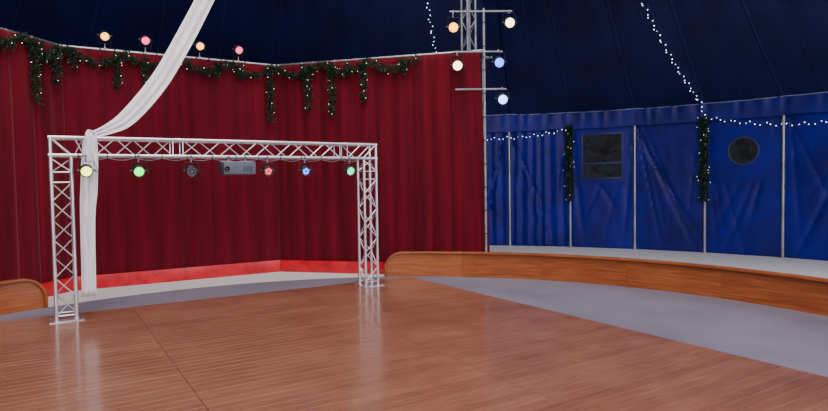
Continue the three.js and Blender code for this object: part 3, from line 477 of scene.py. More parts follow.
# A point of the roof's upper side: the share runs from the ridge cable to the eave
def roofPoint(index, share):
    point = onRidge(index).lerp(onPolygon(tent["eaveRadius"], index, tent["eaveHeight"]), share)
    point.z -= tent["roofSag"] * 4 * share * (1 - share)
    return point


def roofShareAt(index, radius):
    outward = around(1, index)
    inner, outer = roofPoint(index, 0).dot(outward), roofPoint(index, 1).dot(outward)
    return (radius - inner) / (outer - inner)


quarters = {"left_front": (-13, -6), "left_back": (-6, 0), "right_back": (0, 6), "right_front": (6, 13)}


# Stage, lights and camera

photo = {
    "place": (-2.31, -4.78, 1.85),
    "heading": 31.6,    # degrees from +Y towards +X
    "pitch": -2.15,
    "roll": 0.86,
    "lens": 26.09,
    "sensor": 36.0,
}


def makeCamera():
    data = bpy.data.cameras.new("photo_camera")
    data.lens = photo["lens"]
    data.sensor_width = photo["sensor"]
    data.clip_end = 200
    camera = addObject("photo_camera", data)
    turn = Matrix.Rotation(math.radians(-photo["heading"]), 4, "Z")
    tilt = Matrix.Rotation(math.radians(90 + photo["pitch"]), 4, "X")
    roll = Matrix.Rotation(math.radians(-photo["roll"]), 4, "Z")
    camera.matrix_world = Matrix.Translation(photo["place"]) @ turn @ tilt @ roll
    bpy.context.scene.camera = camera


studio = {
    "world": ("#dfe3ee", 0.55),
    "lights": {   # place, aim, size, watts, colour
        "top": ((0, -1, 15), (0, 3, 0), 11, 2600, "#fff6ec"),
        "front": ((-7, -16, 8), (1, 5, 1.5), 9, 2200, "#fff4e6"),
        "right": ((13, -12, 6), (4, 5, 2), 8, 1100, "#e6ebff"),
        "back": ((4, 30, 14), (0, 6, 3), 10, 2600, "#eef2ff"),
    },
    "floor": ("#cfd0d4", 0.8),
}


def makeLights():
    world = bpy.data.worlds.new("studio")
    bpy.context.scene.world = world
    world.use_nodes = True
    colour, strength = studio["world"]
    background = world.node_tree.nodes["Background"].inputs
    background["Color"].default_value = linear(colour)
    background["Strength"].default_value = strength
    for name, (place, aim, size, power, colour) in studio["lights"].items():
        data = bpy.data.lights.new(name + "_light", "AREA")
        data.size = size
        data.energy = power
        data.color = linear(colour)[:3]
        turn = (Vector(aim) - Vector(place)).to_track_quat("-Z", "Y")
        addObject(name + "_light", data).matrix_world = Matrix.Translation(place) @ turn.to_matrix().to_4x4()


def makeFloor():
    bm = bmesh.new()
    bmesh.ops.create_grid(bm, x_segments=1, y_segments=1, size=90, matrix=Matrix.Translation((0, 0, -0.001)))
    mesh = meshFrom("studio_floor", bm)
    mesh.materials.append(newMaterial("pale_studio_floor", *studio["floor"]))
    floor = addObject("studio_floor", mesh)


makeCamera()
makeLights()
makeFloor()
print("camera, lights and floor made")


# Roof

roof = {
    "columns": 16,     # in each bay
    "rows": 56,
    "slope": 8.8,      # of the cloth, from ridge to eave
    "ripple": 0.006,
    "hollow": 0.018,   # how far the cloth sinks between two seams
    "scallop": 0.035,  # how far the eave draws in between two poles
    "beltWidth": 0.06,
    "beltRise": 0.004,
}


def roofSurface(index, share, rise=0.0):
    point = roofPoint(index, share)
    between = math.sin(2 * math.pi * index) ** 2
    point.z -= roof["hollow"] * between * math.sin(math.pi * share) - rise
    between = math.sin(math.pi * (index - math.floor(index))) ** 2
    return point - around(roof["scallop"] * between * smoothStep(share, 0.9, 1.0), index)


def makeRoof():
    for place, (first, last) in quarters.items():
        columns = roof["columns"] * (last - first)
        across = (onPolygon(tent["eaveRadius"], last) - onPolygon(tent["eaveRadius"], first)).length

        def point(u, v):
            rise = roof["ripple"] * noise.noise(Vector((u * 40, v * 9, first))) - tent["roofThickness"] / 2
            return roofSurface(first + u * (last - first), 1 - v) + upward * rise

        bm = clothGrid(columns, roof["rows"], point, (across, roof["slope"]))
        piece = newPiece("roof_sheet_" + place, bm, ["roofCanvas"], replaced=["roof_" + place])
        thicken(piece, tent["roofThickness"])


def makeRoofBelts():
    bm = bmesh.new()
    limit = tent["lastPole"] - 0.02
    for half in range(-2 * tent["lastPole"], 2 * tent["lastPole"] + 1):
        index = min(max(half / 2, -limit), limit)
        width = roof["beltWidth"] * (0.5 if half % 2 else 1)   # narrow ones between two poles
        across = around(1, index).cross(upward)
        for rise in (roof["beltRise"], -roof["beltRise"] - tent["roofThickness"]):

            def point(u, v):
                return roofSurface(index, 1 - v, rise) + across * (u - 0.5) * width

            clothGrid(1, roof["rows"], point, (roof["beltWidth"], roof["slope"]), bm)
    thicken(newPiece("roof_belts", bm, ["belt"]), 0.0016)


makeRoof()
makeRoofBelts()
print("roof made")


# Side wall, with its windows and ports

wall = {
    "columns": 34,     # in each bay
    "rows": 68,
    "seed": 11,
    "folds": 7,        # tension folds in each bay
    "foldDepth": 0.03,
    "billow": 0.035,
    "windowIndex": 7.5,
    "portIndex": 9.5,
    "openingHeight": 2.5,
    "windowSize": (1.0, 1.15),
    "portRadius": 0.3,
    "border": 0.06,
    "calm": (0.56, 0.64),   # half the width and height round an opening where the cloth is flat
    "thickness": 0.0025,
    "drapedBays": (5, 6, -7, -6),   # where the wall hangs in soft upright folds
}


def wallFoldLines():
    dice = random.Random(wall["seed"])
    lines = {}
    for number in range(-tent["lastPole"], tent["lastPole"]):
        lines[number] = []
        for _ in range(wall["folds"]):
            side = dice.choice((0.0, 1.0))
            top = (side + (0.5 - side) * dice.uniform(0.0, 0.25), dice.uniform(2.9, 3.4))
            foot = (dice.uniform(0.12, 0.88), dice.uniform(0.0, 1.3))
            lines[number].append((top, foot, dice.uniform(0.018, 0.05), dice.uniform(0.35, 1.0)))
    return lines


foldLines = wallFoldLines()
wallChord = chordAt(tent["wallRing"])


def nearOpening(index, height):
    aside, above = wall["calm"]
    across = min(abs(abs(index) - wall[key]) * wallChord for key in ("windowIndex", "portIndex"))
    return max(across - aside, abs(height - wall["openingHeight"]) - above)


# How far the wall stands out from its flat, at a place along it and a height
def wallRelief(index, height):
    number = bayNumber(index)
    part = index - number
    depth = 0.0
    for (topPart, topHeight), (footPart, footHeight), width, strength in foldLines[number]:
        share = (topHeight - height) / (topHeight - footHeight)
        if -0.15 < share < 1.3:
            middle = topPart + (footPart - topPart) * share
            spread = width * (0.5 + 1.1 * max(share, 0))
            away = (part - middle) * wallChord / spread
            fade = smoothStep(share, -0.15, 0.1) * (1 - smoothStep(share, 0.75, 1.3))
            depth += wall["foldDepth"] * strength * fade * math.exp(-away * away)
    rise = height / tent["wallTop"]
    billow = math.sin(math.pi * part) * math.sin(math.pi * min(rise, 1)) ** 0.7
    depth += wall["billow"] * billow * noise.noise(Vector((number * 3.7, height * 0.5, 1.0)))
    depth += 0.006 * noise.noise(Vector((index * 9.0, height * 1.4, 4.0)))
    if number in wall["drapedBays"]:
        soft = math.sin(part * 38 + 1.6 * noise.noise(Vector((part * 4, height * 0.16, number))))
        depth += (0.016 + 0.014 * (1 - rise)) * (0.8 + soft)
    calm = smoothStep(nearOpening(index, height), 0.0, 0.25)
    nearPole = smoothStep(min(part, 1 - part) * wallChord, 0.05, 0.2)
    return max(depth * calm, -0.03 * nearPole)


def wallPoint(index, height, outwards=0.0):
    return onPolygon(tent["wallRing"], index, height) + around(outwards, bayNumber(index) + 0.5)


def inOpening(index, height):
    up = height - wall["openingHeight"]
    width, tall = wall["windowSize"]
    window, port = ((abs(index) - wall[key]) * wallChord for key in ("windowIndex", "portIndex"))
    if abs(window) < width / 2 and abs(up) < tall / 2:
        return True
    return math.hypot(port, up) < wall["portRadius"] + 0.01


def makeWall():
    for place, (first, last) in quarters.items():
        chord, count = wallChord, last - first

        def point(u, v):
            index, height = first + u * count, v * tent["wallTop"]
            return wallPoint(min(index, last - 1e-6), height, wallRelief(index, height))

        bm = clothGrid(wall["columns"] * count, wall["rows"], point, (chord * count, tent["wallTop"]))
        uvLayer = bm.loops.layers.uv["UVMap"]
        middles = [(face, *flatMiddle(face, uvLayer)) for face in bm.faces]
        holes = [face for face, along, height in middles if inOpening(first + along / chord, height)]
        bmesh.ops.delete(bm, geom=holes, context="FACES")
        piece = newPiece("wall_sheet_" + place, bm, ["wallCanvas"],
                         replaced=["side_wall_" + place])
        thicken(piece, wall["thickness"])


def wallFrame(index):
    return standing(wallPoint(index, wall["openingHeight"]), -index * bay)


def makeWindow(name, index):
    bm = bmesh.new()
    width, tall = wall["windowSize"]
    border = wall["border"]
    inside = -0.009
    block(bm, (0, inside + 0.003, 0), (width + 0.04, 0.004, tall + 0.04), finish=0)
    for side in (-1, 1):
        for y, thick, finish, bevel in ((inside, 0.012, 1, 0.005), (0.009, 0.01, 2, 0.004)):
            block(bm, (side * (width + border) / 2, y, 0), (border, thick, tall + 2 * border), finish, bevel)
            block(bm, (0, y, side * (tall + border) / 2), (width, thick - 0.0002, border), finish, bevel)
    block(bm, (0, inside - 0.002, -tall / 6), (width, 0.009, 0.05), 1, 0.004)
    block(bm, (0, 0.006, 0), (width, 0.004, tall), 2, 0.001)
    for strap in (-0.3, 0.3):   # straps that tie the outer flap down
        block(bm, (strap, 0.015, 0), (0.04, 0.004, tall * 0.96), 3, 0.001)
    bmesh.ops.transform(bm, matrix=wallFrame(index), verts=bm.verts)
    newPiece("window_" + name, bm, ["screen", "welt", "wallCanvas", "belt"],
             replaced=["wall_window_" + name], outwards=True)


def makePort(name, index):
    bm = bmesh.new()
    radius, half = wall["portRadius"], wall["border"] / 2
    lathe(bm, [(0, -0.006), (radius + 0.01, -0.006), (radius + 0.01, 0.003), (0, 0.003)], 48, 0)
    for finish, shift in ((1, -0.011), (2, 0.01)):   # welts inside and outside
        turns = [2 * math.pi * (i % 10) / 10 for i in range(11)]
        welt = [(radius + half + half * math.cos(turn), shift + 0.009 * math.sin(turn)) for turn in turns]
        lathe(bm, welt, 48, finish)
    for third in range(3):   # ribs that hold the mesh
        start, end = (roundY(math.pi * (third / 3 + half), radius, -0.009) for half in (1, 0))
        rod(bm, start, end, 0.004, 6, 0)
    bmesh.ops.transform(bm, matrix=wallFrame(index), verts=bm.verts)
    newPiece("port_" + name, bm, ["screen", "welt", "wallCanvas"],
             replaced=["wall_port_" + name], outwards=True)


makeWall()
for side, sign in (("left", -1), ("right", 1)):
    makeWindow(side, sign * wall["windowIndex"])
    makePort(side, sign * wall["portIndex"])
print("wall made")


# Valance: a strip of cloth gathered on a pale piping under the eave, in front of the poles

valance = {
    "ring": 12.362,
    "depth": 0.02,
    "foot": 3.27,
    "gathers": 5,      # in each bay
    "columns": 70,     # in each bay
    "rows": 9,
    "fullness": 1.04,
    "piping": 0.011,
}


def makeValance():
    for place, (first, last) in quarters.items():
        count = last - first

        def point(u, v):
            index = min(first + u * count, last - 1e-6)
            drift = noise.noise(Vector((index * 4.0, 2.0, 0.0)))
            phase = 2 * math.pi * valance["gathers"] * (index + 0.07 * drift)
            strength = 0.65 + 0.7 * noise.noise(Vector((index * 3.1, 11.0, 0.0)))
            strength = min(max(strength, 0.2), 1) * (1 - 0.75 * smoothStep(v, 0.1, 0.9))
            depth = valance["depth"] * strength * math.sin(phase + 1.5 * v * drift)
            radius = valance["ring"]
            top = roofSurface(index, roofShareAt(index, radius * math.cos(bay / 2))).z - 0.012
            hang = top - valance["foot"] + 0.018 * noise.noise(Vector((index * 2.3, 7.0, 0.0)))
            shift = 0.02 * noise.noise(Vector((index * 6.0, v * 2.0, 5.0))) * v
            along = min(max(index + shift, first), last - 1e-6)
            return onPolygon(radius, along, top - hang * v) + around(depth, index)

        width = count * chordAt(valance["ring"])
        bm = clothGrid(valance["columns"] * count, valance["rows"], point, (width, 0.4))
        piece = newPiece("valance_" + place, bm, ["valance"])
        bm = bmesh.new()
        edge = []
        for i in range(count * 8 + 1):
            share = i / (count * 8)
            edge.append(point(share, 0.02) - around(valance["piping"] * 0.6, first + share * count))
        sweep(bm, edge, valance["piping"], 8, 0)
        newPiece("valance_piping_" + place, bm, ["piping"])


makeValance()
print("valance made")


# Small helpers for repeated parts

def merge(bm, part, place=Matrix.Identity(4)):
    bmesh.ops.transform(part, matrix=place, verts=part.verts)
    spare = meshFrom("spare", part)
    bm.from_mesh(spare)
    bpy.data.meshes.remove(spare)


def giveTone(bm, tone):
    layer = bm.verts.layers.float.get("tone") or bm.verts.layers.float.new("tone")
    for vert in bm.verts:
        vert[layer] = tone


def curveThrough(points, steps):
    points = [Vector(point) for point in points]
    ends = [points[0] * 2 - points[1], *points, points[-1] * 2 - points[-2]]
    line = []
    for i in range(1, len(ends) - 2):
        before, start, end, after = ends[i - 1:i + 3]
        for step in range(steps):
            t = step / steps
            square, cube = 2 * before - 5 * start + 4 * end - after, 3 * start - before - 3 * end + after
            line.append(0.5 * (2 * start + (end - before) * t + square * t * t + cube * t ** 3))
    return [*line, points[-1]]


# Side poles with guy ropes and stakes

sidePoles = {
    "sides": 16,
    "footRadius": 0.09,
    "clips": (1.2, 2.3),    # heights where the wall is tied to a pole
    "guyRadius": 0.009,
    "guyReach": 2.15,
    "stakeRadius": 0.019,
    "stakeHeight": 0.25,
    "ratchetShare": 0.78,   # its place along a guy rope
    "cableHeight": 3.5,
    "lacings": 6,           # in each bay
    # where the strings of lights hang on hooks
    "wireHeights": {5: 3.2, 6: 3.1, 7: 3.3, 9: 3.38, 10: 3.07, 11: 3.12, 12: 3.28, 13: 3.38},
}


def addSidePole(bm, index):
    ring, radius, top, sides = tent["poleRing"], tent["poleRadius"], tent["poleTop"], sidePoles["sides"]
    foot, aside = around(ring, index), around(1, index).cross(upward)
    under = roofSurface(index, roofShareAt(index, ring)).z - tent["roofThickness"] - 0.003
    upright(bm, foot, 0, 0.012, sidePoles["footRadius"], 20)
    upright(bm, foot, 0.012, 0.09, radius + 0.005, sides)
    upright(bm, foot, 0.09, top - 0.02, radius, sides)
    upright(bm, foot, top - 0.02, top, radius, sides, tip=0.02)
    upright(bm, foot, top - 0.12, top - 0.07, radius + 0.004, sides)
    upright(bm, foot, top - 0.01, under, 0.012, 8)
    for height in sidePoles["clips"]:
        upright(bm, foot, height, height + 0.03, radius + 0.003, sides, 2)
    stake, stakeTop = around(ring + sidePoles["guyReach"], index), sidePoles["stakeHeight"]
    upright(bm, stake, 0, stakeTop, sidePoles["stakeRadius"], 10, 2)
    upright(bm, stake, stakeTop - 0.03, stakeTop + 0.008, 0.034, 12, 2, tip=0.028)
    start, end = foot + upward * (top - 0.03), stake + upward * 0.19
    rod(bm, start, end, sidePoles["guyRadius"], 8, 1)
    upright(bm, stake, 0.17, 0.21, 0.03, 12, 1)
    upright(bm, start, -0.02, 0.02, radius + 0.007, sides, 1)
    middle, along = start.lerp(end, sidePoles["ratchetShare"]), (end - start).normalized()
    turn = along.to_track_quat("X", "Z").to_matrix().to_4x4()
    block(bm, middle, (0.19, 0.055, 0.03), 2, 0.006, turn)
    drum = middle + along * 0.04
    rod(bm, drum - aside * 0.035, drum + aside * 0.035, 0.02, 12, 0)
    block(bm, middle + upward * 0.03 - along * 0.05, (0.15, 0.045, 0.008), 0, 0.003, turn)
    height = sidePoles["wireHeights"].get(abs(index))
    if height:
        rod(bm, foot + upward * height, around(tent["wireRing"] + 0.004, index, height), 0.004, 6)


def makeSidePoles():
    groups = {"left_front": (-13, -7), "left_back": (-6, -1), "right_back": (0, 6), "right_front": (7, 13)}
    for place, (first, last) in groups.items():
        bm = bmesh.new()
        for index in range(first, last + 1):
            addSidePole(bm, index)
        low = max(first - 0.499, -tent["lastPole"])
        high = min(last + 0.499, tent["lastPole"] - 1e-6)
        stops = [low, *[i for i in range(first, last + 1) if low < i < high], high]
        cable = [onPolygon(tent["poleRing"], index, sidePoles["cableHeight"]) for index in stops]
        sweep(bm, cable, 0.008, 8, 3)
        count = round((high - low) * sidePoles["lacings"])
        for i in range(count):   # lacing that holds the wall to the cable
            index = low + (high - low) * (i + 0.5) / count
            rod(bm, onPolygon(tent["wallRing"], index, tent["wallTop"] - 0.02),
                onPolygon(tent["poleRing"] + 0.006, index, sidePoles["cableHeight"] + 0.006), 0.0045, 6, 1)
        newPiece("poles_and_guys_" + place, bm, ["galvanised", "guyRope", "boltSteel", "wireRope"],
                 replaced=["side_poles_" + place])


makeSidePoles()
print("side poles made")


# Lattices of round tube

# Four chords, with rungs at some heights and a zigzag between two. Gives the place of a chord at a height.
def lattice(bm, place, shape, length, low, high, rungs, sides, phase=0):
    half = shape["width"] / 2 - shape["chord"]
    posts = [(-half, -half), (half, -half), (half, half), (-half, half)]
    at = lambda post, z: place @ Vector((*posts[post % 4], z))
    count = max(shape["fewest"], round((high - low) / shape["pitch"]))
    step = (high - low) / count
    for post in range(4):
        rod(bm, at(post, 0), at(post, length), shape["chord"], sides[0])
    for face in range(4):
        for z in rungs:
            rod(bm, at(face, z), at(face + 1, z), shape["brace"], sides[1])
        for i in range(count):
            swap = (i + face + phase) % 2
            start, end = at(face + swap, low + i * step), at(face + 1 - swap, low + (i + 1) * step)
            rod(bm, start, end, shape["brace"], sides[1])
    return at


kingPole = {
    "width": 0.25,
    "height": 9.2,
    "chord": 0.024,
    "brace": 0.01,
    "pitch": 0.31,
    "fewest": 2,       # braces on each side of a section
    "sections": (0.02, 3.06, 6.1, 8.885),
    "crown": 8.905,
    "plates": (0.6, 0.25, 0.3),    # sides of the foot, top and crown plates
    "jointBolts": 0.07,            # from the middle
    "footPins": 0.24,
    "saddleGap": (0.0123, 0.0143), # from the middle of the ridge cable, outwards and down
}


def makeKingPole(name, side):
    bm = bmesh.new()
    chord, height, crown = kingPole["chord"], kingPole["height"], kingPole["crown"]
    stops = [*kingPole["sections"], height - 0.02]
    for low, high in zip(stops, stops[1:]):
        length = high - low
        lattice(bm, Matrix.Translation((0, 0, low)), kingPole, length, chord, length - chord,
                (chord * 0.8, length - chord * 0.8), (14, 8))
    for size, top, bevel in zip(kingPole["plates"], (0.02, height, crown), (0.004, 0.003, 0.003)):
        block(bm, (0, 0, top - 0.01), (size, size, 0.02), 0, bevel)
    for z in kingPole["sections"][1:3]:
        for shift in (-0.009, 0.009):
            block(bm, (0, 0, z + shift), (kingPole["width"], kingPole["width"], 0.015), 0, 0.003)
        for x, y in corners(kingPole["jointBolts"]):
            rod(bm, (x, y, z - 0.03), (x, y, z + 0.03), 0.009, 6, 1)
    for x, y in corners(kingPole["footPins"]):   # pins through the foot plate, and struts
        rod(bm, (x, y, 0.02), (x, y, 0.05), 0.016, 6, 1)
        rod(bm, (x * 0.52, y * 0.52, 0.2), (x * 0.9, y * 0.9, 0.022), 0.01, 8, 0)
    outwards, down = kingPole["saddleGap"]
    saddle, top = tent["ridgeHalf"] - outwards - tent["kingOffset"], tent["ridgeTop"] - down
    block(bm, (side * saddle, saddle, (crown + top) / 2), (0.016, 0.016, top - crown), 0)
    place = Matrix.Translation((side * tent["kingOffset"], tent["kingOffset"], 0))
    bmesh.ops.transform(bm, matrix=place, verts=bm.verts)
    newPiece("king_pole_lattice_" + name, bm, ["mastPaint", "boltSteel"],
             replaced=["king_pole_" + name])


makeKingPole("left", -1)
makeKingPole("right", 1)
print("king poles made")


# Ring: floor of boards and the fence

ring = {
    "radius": 6.5,
    "seed": 5,
    "boards": ((-3.7, 3.7), (-2.54, 5.2), (0.0103, 0.03)),
    "panelLength": 2.4667,
    "boardsInPanel": 10,
    "panels": 6,
    "boardGap": 0.0016,
    "panelGap": 0.005,
    "fenceHeight": 0.5,
    "fenceBoard": 0.04,
    "capHeight": 0.04,
    "capReach": (-0.05, 0.08),
    "endRound": 0.34,
    "fenceEnd": 112.2,
    "gapLeft": -21,
    "gapRight": 31,
    "fencePanel": 1.62,
    "facet": 0.12,     # length of each straight step of the fence's curve
    "battens": (0.28, 0.72),   # their places along a panel, on the outside
}


def grainAlong(part, tone):
    layer = part.loops.layers.uv.new("UVMap")
    for face in part.faces:
        for loop in face.loops:
            co = loop.vert.co
            loop[layer].uv = (co.x, co.z + co.y)
    giveTone(part, tone)


def woodBlock(bm, low, high, tone, bevel):
    part = bmesh.new()
    block(part, (Vector(low) + Vector(high)) / 2, Vector(high) - Vector(low), 0, bevel, segments=1)
    grainAlong(part, tone)
    merge(bm, part)


def makeBoards():
    dice = random.Random(ring["seed"])
    bm = bmesh.new()
    (left, right), (front, back), (low, high) = ring["boards"]
    columns = round((right - left) / ring["panelLength"])
    length = (right - left) / columns
    rows = ring["panels"] * ring["boardsInPanel"]
    width = (back - front) / rows
    for row in range(rows):
        first = row % ring["boardsInPanel"] == 0
        last = (row + 1) % ring["boardsInPanel"] == 0
        for column in range(columns):
            y0 = front + row * width + (ring["panelGap"] if first else ring["boardGap"]) / 2
            y1 = front + (row + 1) * width - (ring["panelGap"] if last else ring["boardGap"]) / 2
            x0 = left + column * length + ring["panelGap"] / 2
            x1 = x0 + length - ring["panelGap"]
            woodBlock(bm, (x0, y0, low), (x1, y1, high - dice.uniform(0, 0.0006)), dice.random(), 0.0012)
    newPiece("floor_boards_laid", bm, ["boards"], replaced=["dance_floor"])


# The top line of a length of fence, with a rounded drop to the floor at an open end
def fenceTop(length, rounded):
    top, radius = ring["fenceHeight"], ring["endRound"]
    arc = [(0, 0)]
    for i in range(9):
        angle = math.pi / 2 * i / 8
        arc.append((radius * (1 - math.cos(angle)), top - radius * (1 - math.sin(angle))))
    start = arc if rounded == -1 else [(0, top)]
    end = [(length - s, z) for s, z in reversed(arc)] if rounded == 1 else [(length, top)]
    return start + end


# The line moved to its right-hand side, for an outline that runs along +X
def movedDown(line, distance):
    points = [Vector(point) for point in line]
    moved = []
    for i, point in enumerate(points):
        before = (point - points[i - 1]).normalized() if i else (points[1] - point).normalized()
        after = (points[i + 1] - point).normalized() if i < len(points) - 1 else before
        along = (before + after).normalized()
        moved.append(tuple(point + Vector((along.y, -along.x)) * distance))
    return moved


def extruded(part, outline, shift):
    face = part.faces.new([part.verts.new(point) for point in outline])
    grown = bmesh.ops.extrude_face_region(part, geom=[face])["geom"]
    verts = [item for item in grown if isinstance(item, bmesh.types.BMVert)]
    bmesh.ops.translate(part, vec=shift, verts=verts)
    bmesh.ops.recalc_face_normals(part, faces=part.faces)


def fencePart(bm, outline, near, far, startAngle, tone, bevel):
    part = bmesh.new()
    extruded(part, [(s, near, z) for s, z in outline], (0, far - near, 0))
    if bevel:
        sharp = [edge for edge in part.edges if edge.calc_face_angle(0) > 0.9]
        bevelEdges(part, sharp, bevel)
    length = max(s for s, z in outline)
    for i in range(1, math.ceil(length / ring["facet"])):
        bmesh.ops.bisect_plane(part, geom=[*part.verts, *part.edges, *part.faces], dist=1e-5,
                               plane_co=(i * ring["facet"], 0, 0), plane_no=(1, 0, 0))
    grainAlong(part, tone)
    for vert in part.verts:
        angle = startAngle + vert.co.x / ring["radius"]
        radius = ring["radius"] + vert.co.y
        vert.co = Vector((radius * math.sin(angle), radius * math.cos(angle), vert.co.z))
    merge(bm, part)


def makeFence(name, start, end, roundedEnd):
    dice = random.Random(round(start * 7))
    bm = bmesh.new()
    whole = math.radians(end - start) * ring["radius"]
    count = round(whole / ring["fencePanel"])
    step = whole / count
    length = step - 0.003
    boardTop = ring["fenceHeight"] - ring["capHeight"]
    for i in range(count):
        atEnd = roundedEnd and i == (count - 1 if roundedEnd == 1 else 0)
        rounded = roundedEnd if atEnd else 0
        angle = math.radians(start) + (i * step + 0.0015) / ring["radius"]
        top = fenceTop(length, rounded)
        inner = movedDown(top, ring["capHeight"] * 0.98)
        board = [*([] if rounded == -1 else [(0, 0)]), *inner, *([] if rounded == 1 else [(length, 0)])]
        fencePart(bm, board, 0.0, ring["fenceBoard"], angle, dice.random(), 0.0)
        cap = [*top, *reversed(movedDown(top, ring["capHeight"]))]
        fencePart(bm, cap, *ring["capReach"], angle, dice.random(), 0.008)
        for share in ring["battens"]:
            middle = angle + share * length / ring["radius"]
            batten = bmesh.new()
            block(batten, (0, 0, boardTop / 2), (0.07, 0.03, boardTop - 0.004), 0, 0.003)
            grainAlong(batten, dice.random())
            radius = ring["radius"] + ring["fenceBoard"] + 0.0152
            merge(bm, batten, standing(Vector((math.sin(middle), math.cos(middle), 0)) * radius, -middle))
    newPiece("fence_" + name, bm, ["fencePly"], replaced=["ring_fence_" + name])


leftHalf = (ring["gapLeft"] - ring["fenceEnd"]) / 2
rightHalf = (ring["gapRight"] + ring["fenceEnd"]) / 2
makeBoards()
makeFence("left_front", -ring["fenceEnd"], leftHalf, 0)
makeFence("left_back", leftHalf, ring["gapLeft"], 1)
makeFence("right_back", ring["gapRight"], rightHalf, -1)
makeFence("right_front", rightHalf, ring["fenceEnd"], 0)
print("ring made")


# Curtain, its plinth and its rail

rail = {   # its middle line, seen from above
    "path": [(-5.11, 4.43), (-1.99, 7.75), (1.99, 7.75), (5.028, 4.517)],
    "height": 4.4,
    "radius": 0.025,
    "sleeves": (1.5, 3.0),   # heights where the posts' lengths meet
    "footRadius": 0.1,
    "tieHeight": 4.25,
    "tieEnd": 5.1047,        # y of the left king pole's front
    "lamps": (-1.27, -0.58, 0.42, 1.19),
    "lights": ("amber", "pink", "amber", "pink"),
    "lampRise": 0.26,
}
curtain = {
    "middle": 0.0778,   # from the rail's middle towards the ring
    "seam": 0.058,      # the same, where two curtains meet
    "pitch": 0.4,
    "depth": 0.05,
    "flare": 0.17,      # how far the right wing's hem swings out past its post
    "foot": 0.015,
    "top": 4.372,
    "columnsInFold": 24,
    "rows": 44,
    "cornerInset": 0.027,
    "endInset": 0.04,
    "parting": 0.002,
    "hooks": 0.25,      # from hook to hook
    "plinthFront": (0.1306, 0.1506),
    "plinthHeight": 0.25,
    "screws": (0.05, 0.2),   # heights of the plinth's screws
}
curtainPanels = {
    "wing_left": (0, curtain["endInset"], curtain["cornerInset"], 0.0, 1.0),
    "back_left": (1, curtain["cornerInset"], curtain["parting"], 0.0, 0.5),
    "back_right": (1, curtain["parting"], curtain["cornerInset"], 0.5, 1.0),
    "wing_right": (2, curtain["cornerInset"], curtain["endInset"], 0.0, 1.0),
}


def railSide(side):
    start, end = (Vector((*rail["path"][side + i], 0)) for i in (0, 1))
    along = (end - start).normalized()
    return start, (end - start).length, along, Vector((along.y, -along.x, 0))


# The rail's line moved towards the ring, with its corners mitred
def movedIn(distance):
    normals = [railSide(side)[3] for side in range(3)]
    line = []
    for i, (x, y) in enumerate(rail["path"]):
        before, after = normals[max(i - 1, 0)], normals[min(i, 2)]
        mitre = (before + after) / (1 + before.dot(after))
        line.append(Vector((x, y, 0)) + mitre * distance)
    return line


def makeCurtain(name, side, startInset, endInset, fromShare, toShare):
    start, whole, along, inward = railSide(side)
    low, high = whole * fromShare + startInset, whole * toShare - endInset
    length = high - low
    folds = round(length / curtain["pitch"])
    height = curtain["top"] - curtain["foot"]
    seed = side * 10 + fromShare * 4

    def point(u, v):
        fall = 1 - v
        drift = 1.3 * noise.noise(Vector((u * folds * 0.4, seed, fall * 0.2)))
        sway = 0.3 * noise.noise(Vector((u * folds * 0.8, seed + 3.0, fall * 0.9)))
        phase = 2 * math.pi * folds * u + drift + sway * fall * 2.0
        flare = curtain["flare"] * fall ** 1.3 * smoothStep(u, 0.86, 1) if name == "wing_right" else 0
        strength = 0.68 + 0.75 * noise.noise(Vector((u * folds * 0.3, seed + 9.0, fall * 0.3)))
        free = smoothStep(min(u, 1 - u) * length, 0, 0.16)
        depth = curtain["depth"] * min(max(strength, 0.18), 1) * free
        depth *= 0.55 + 0.45 * smoothStep(fall, 0, 0.35)
        wave = 2.2 * math.sqrt(0.07 + 0.93 * math.cos(phase / 2) ** 2) - 1.35
        wave += 0.14 * math.sin(2.6 * phase + 0.7)
        lean = 0.65 * depth * math.sin(phase)
        distance = low + length * u + lean + flare
        out = curtain["seam"] + (curtain["middle"] - curtain["seam"]) * free + depth * wave / 1.05
        return start + along * distance + inward * out + upward * (curtain["foot"] + height * v)

    bm = clothGrid(folds * curtain["columnsInFold"], curtain["rows"], point, (length * 1.5, height))
    piece = newPiece("velvet_" + name, bm, ["curtain"], replaced=["curtain_" + name])
    thicken(piece, 0.003)


def makeCurtainTops():
    bm = bmesh.new()
    for side in range(3):
        start, length, along, inward = railSide(side)
        count = round(length / curtain["hooks"])
        for i in range(count):   # hooks from the rail to the heading tape
            place = start + along * length * (i + 0.5) / count
            top = place + upward * (rail["height"] + rail["radius"] + 0.003)
            hook = [place + inward * 0.045 + upward * (curtain["top"] - 0.02),
                    place + inward * 0.034 + upward * rail["height"],
                    place + inward * 0.02 + upward * (rail["height"] + 0.024), top,
                    place - inward * 0.022 + upward * (rail["height"] + 0.018)]
            sweep(bm, hook, 0.003, 6, 0)
    newPiece("curtain_hooks", bm, ["boltSteel"])


def makePlinth():
    bm = bmesh.new()
    near, far = (movedIn(distance) for distance in curtain["plinthFront"])
    for side in range(3):
        for low, high in ((0, 0.5), (0.5, 1)):   # two boards on each side
            ends = [(near, low), (far, low), (far, high), (near, high)]
            part = bmesh.new()
            extruded(part, [line[side].lerp(line[side + 1], share) for line, share in ends],
                     (0, 0, curtain["plinthHeight"]))
            bevelEdges(part, list(part.edges), 0.003)
            merge(bm, part)
    for side in range(3):
        start, length, along, inward = railSide(side)
        for i in range(4):   # screws along the board
            place = start + along * length * (0.1 + 0.27 * i) + inward * (curtain["plinthFront"][1] - 0.001)
            for z in curtain["screws"]:
                rod(bm, place + upward * z, place + upward * z + inward * 0.003, 0.007, 10, 1)
    newPiece("red_plinth", bm, ["plinth", "boltSteel"], replaced=["curtain_plinth"])


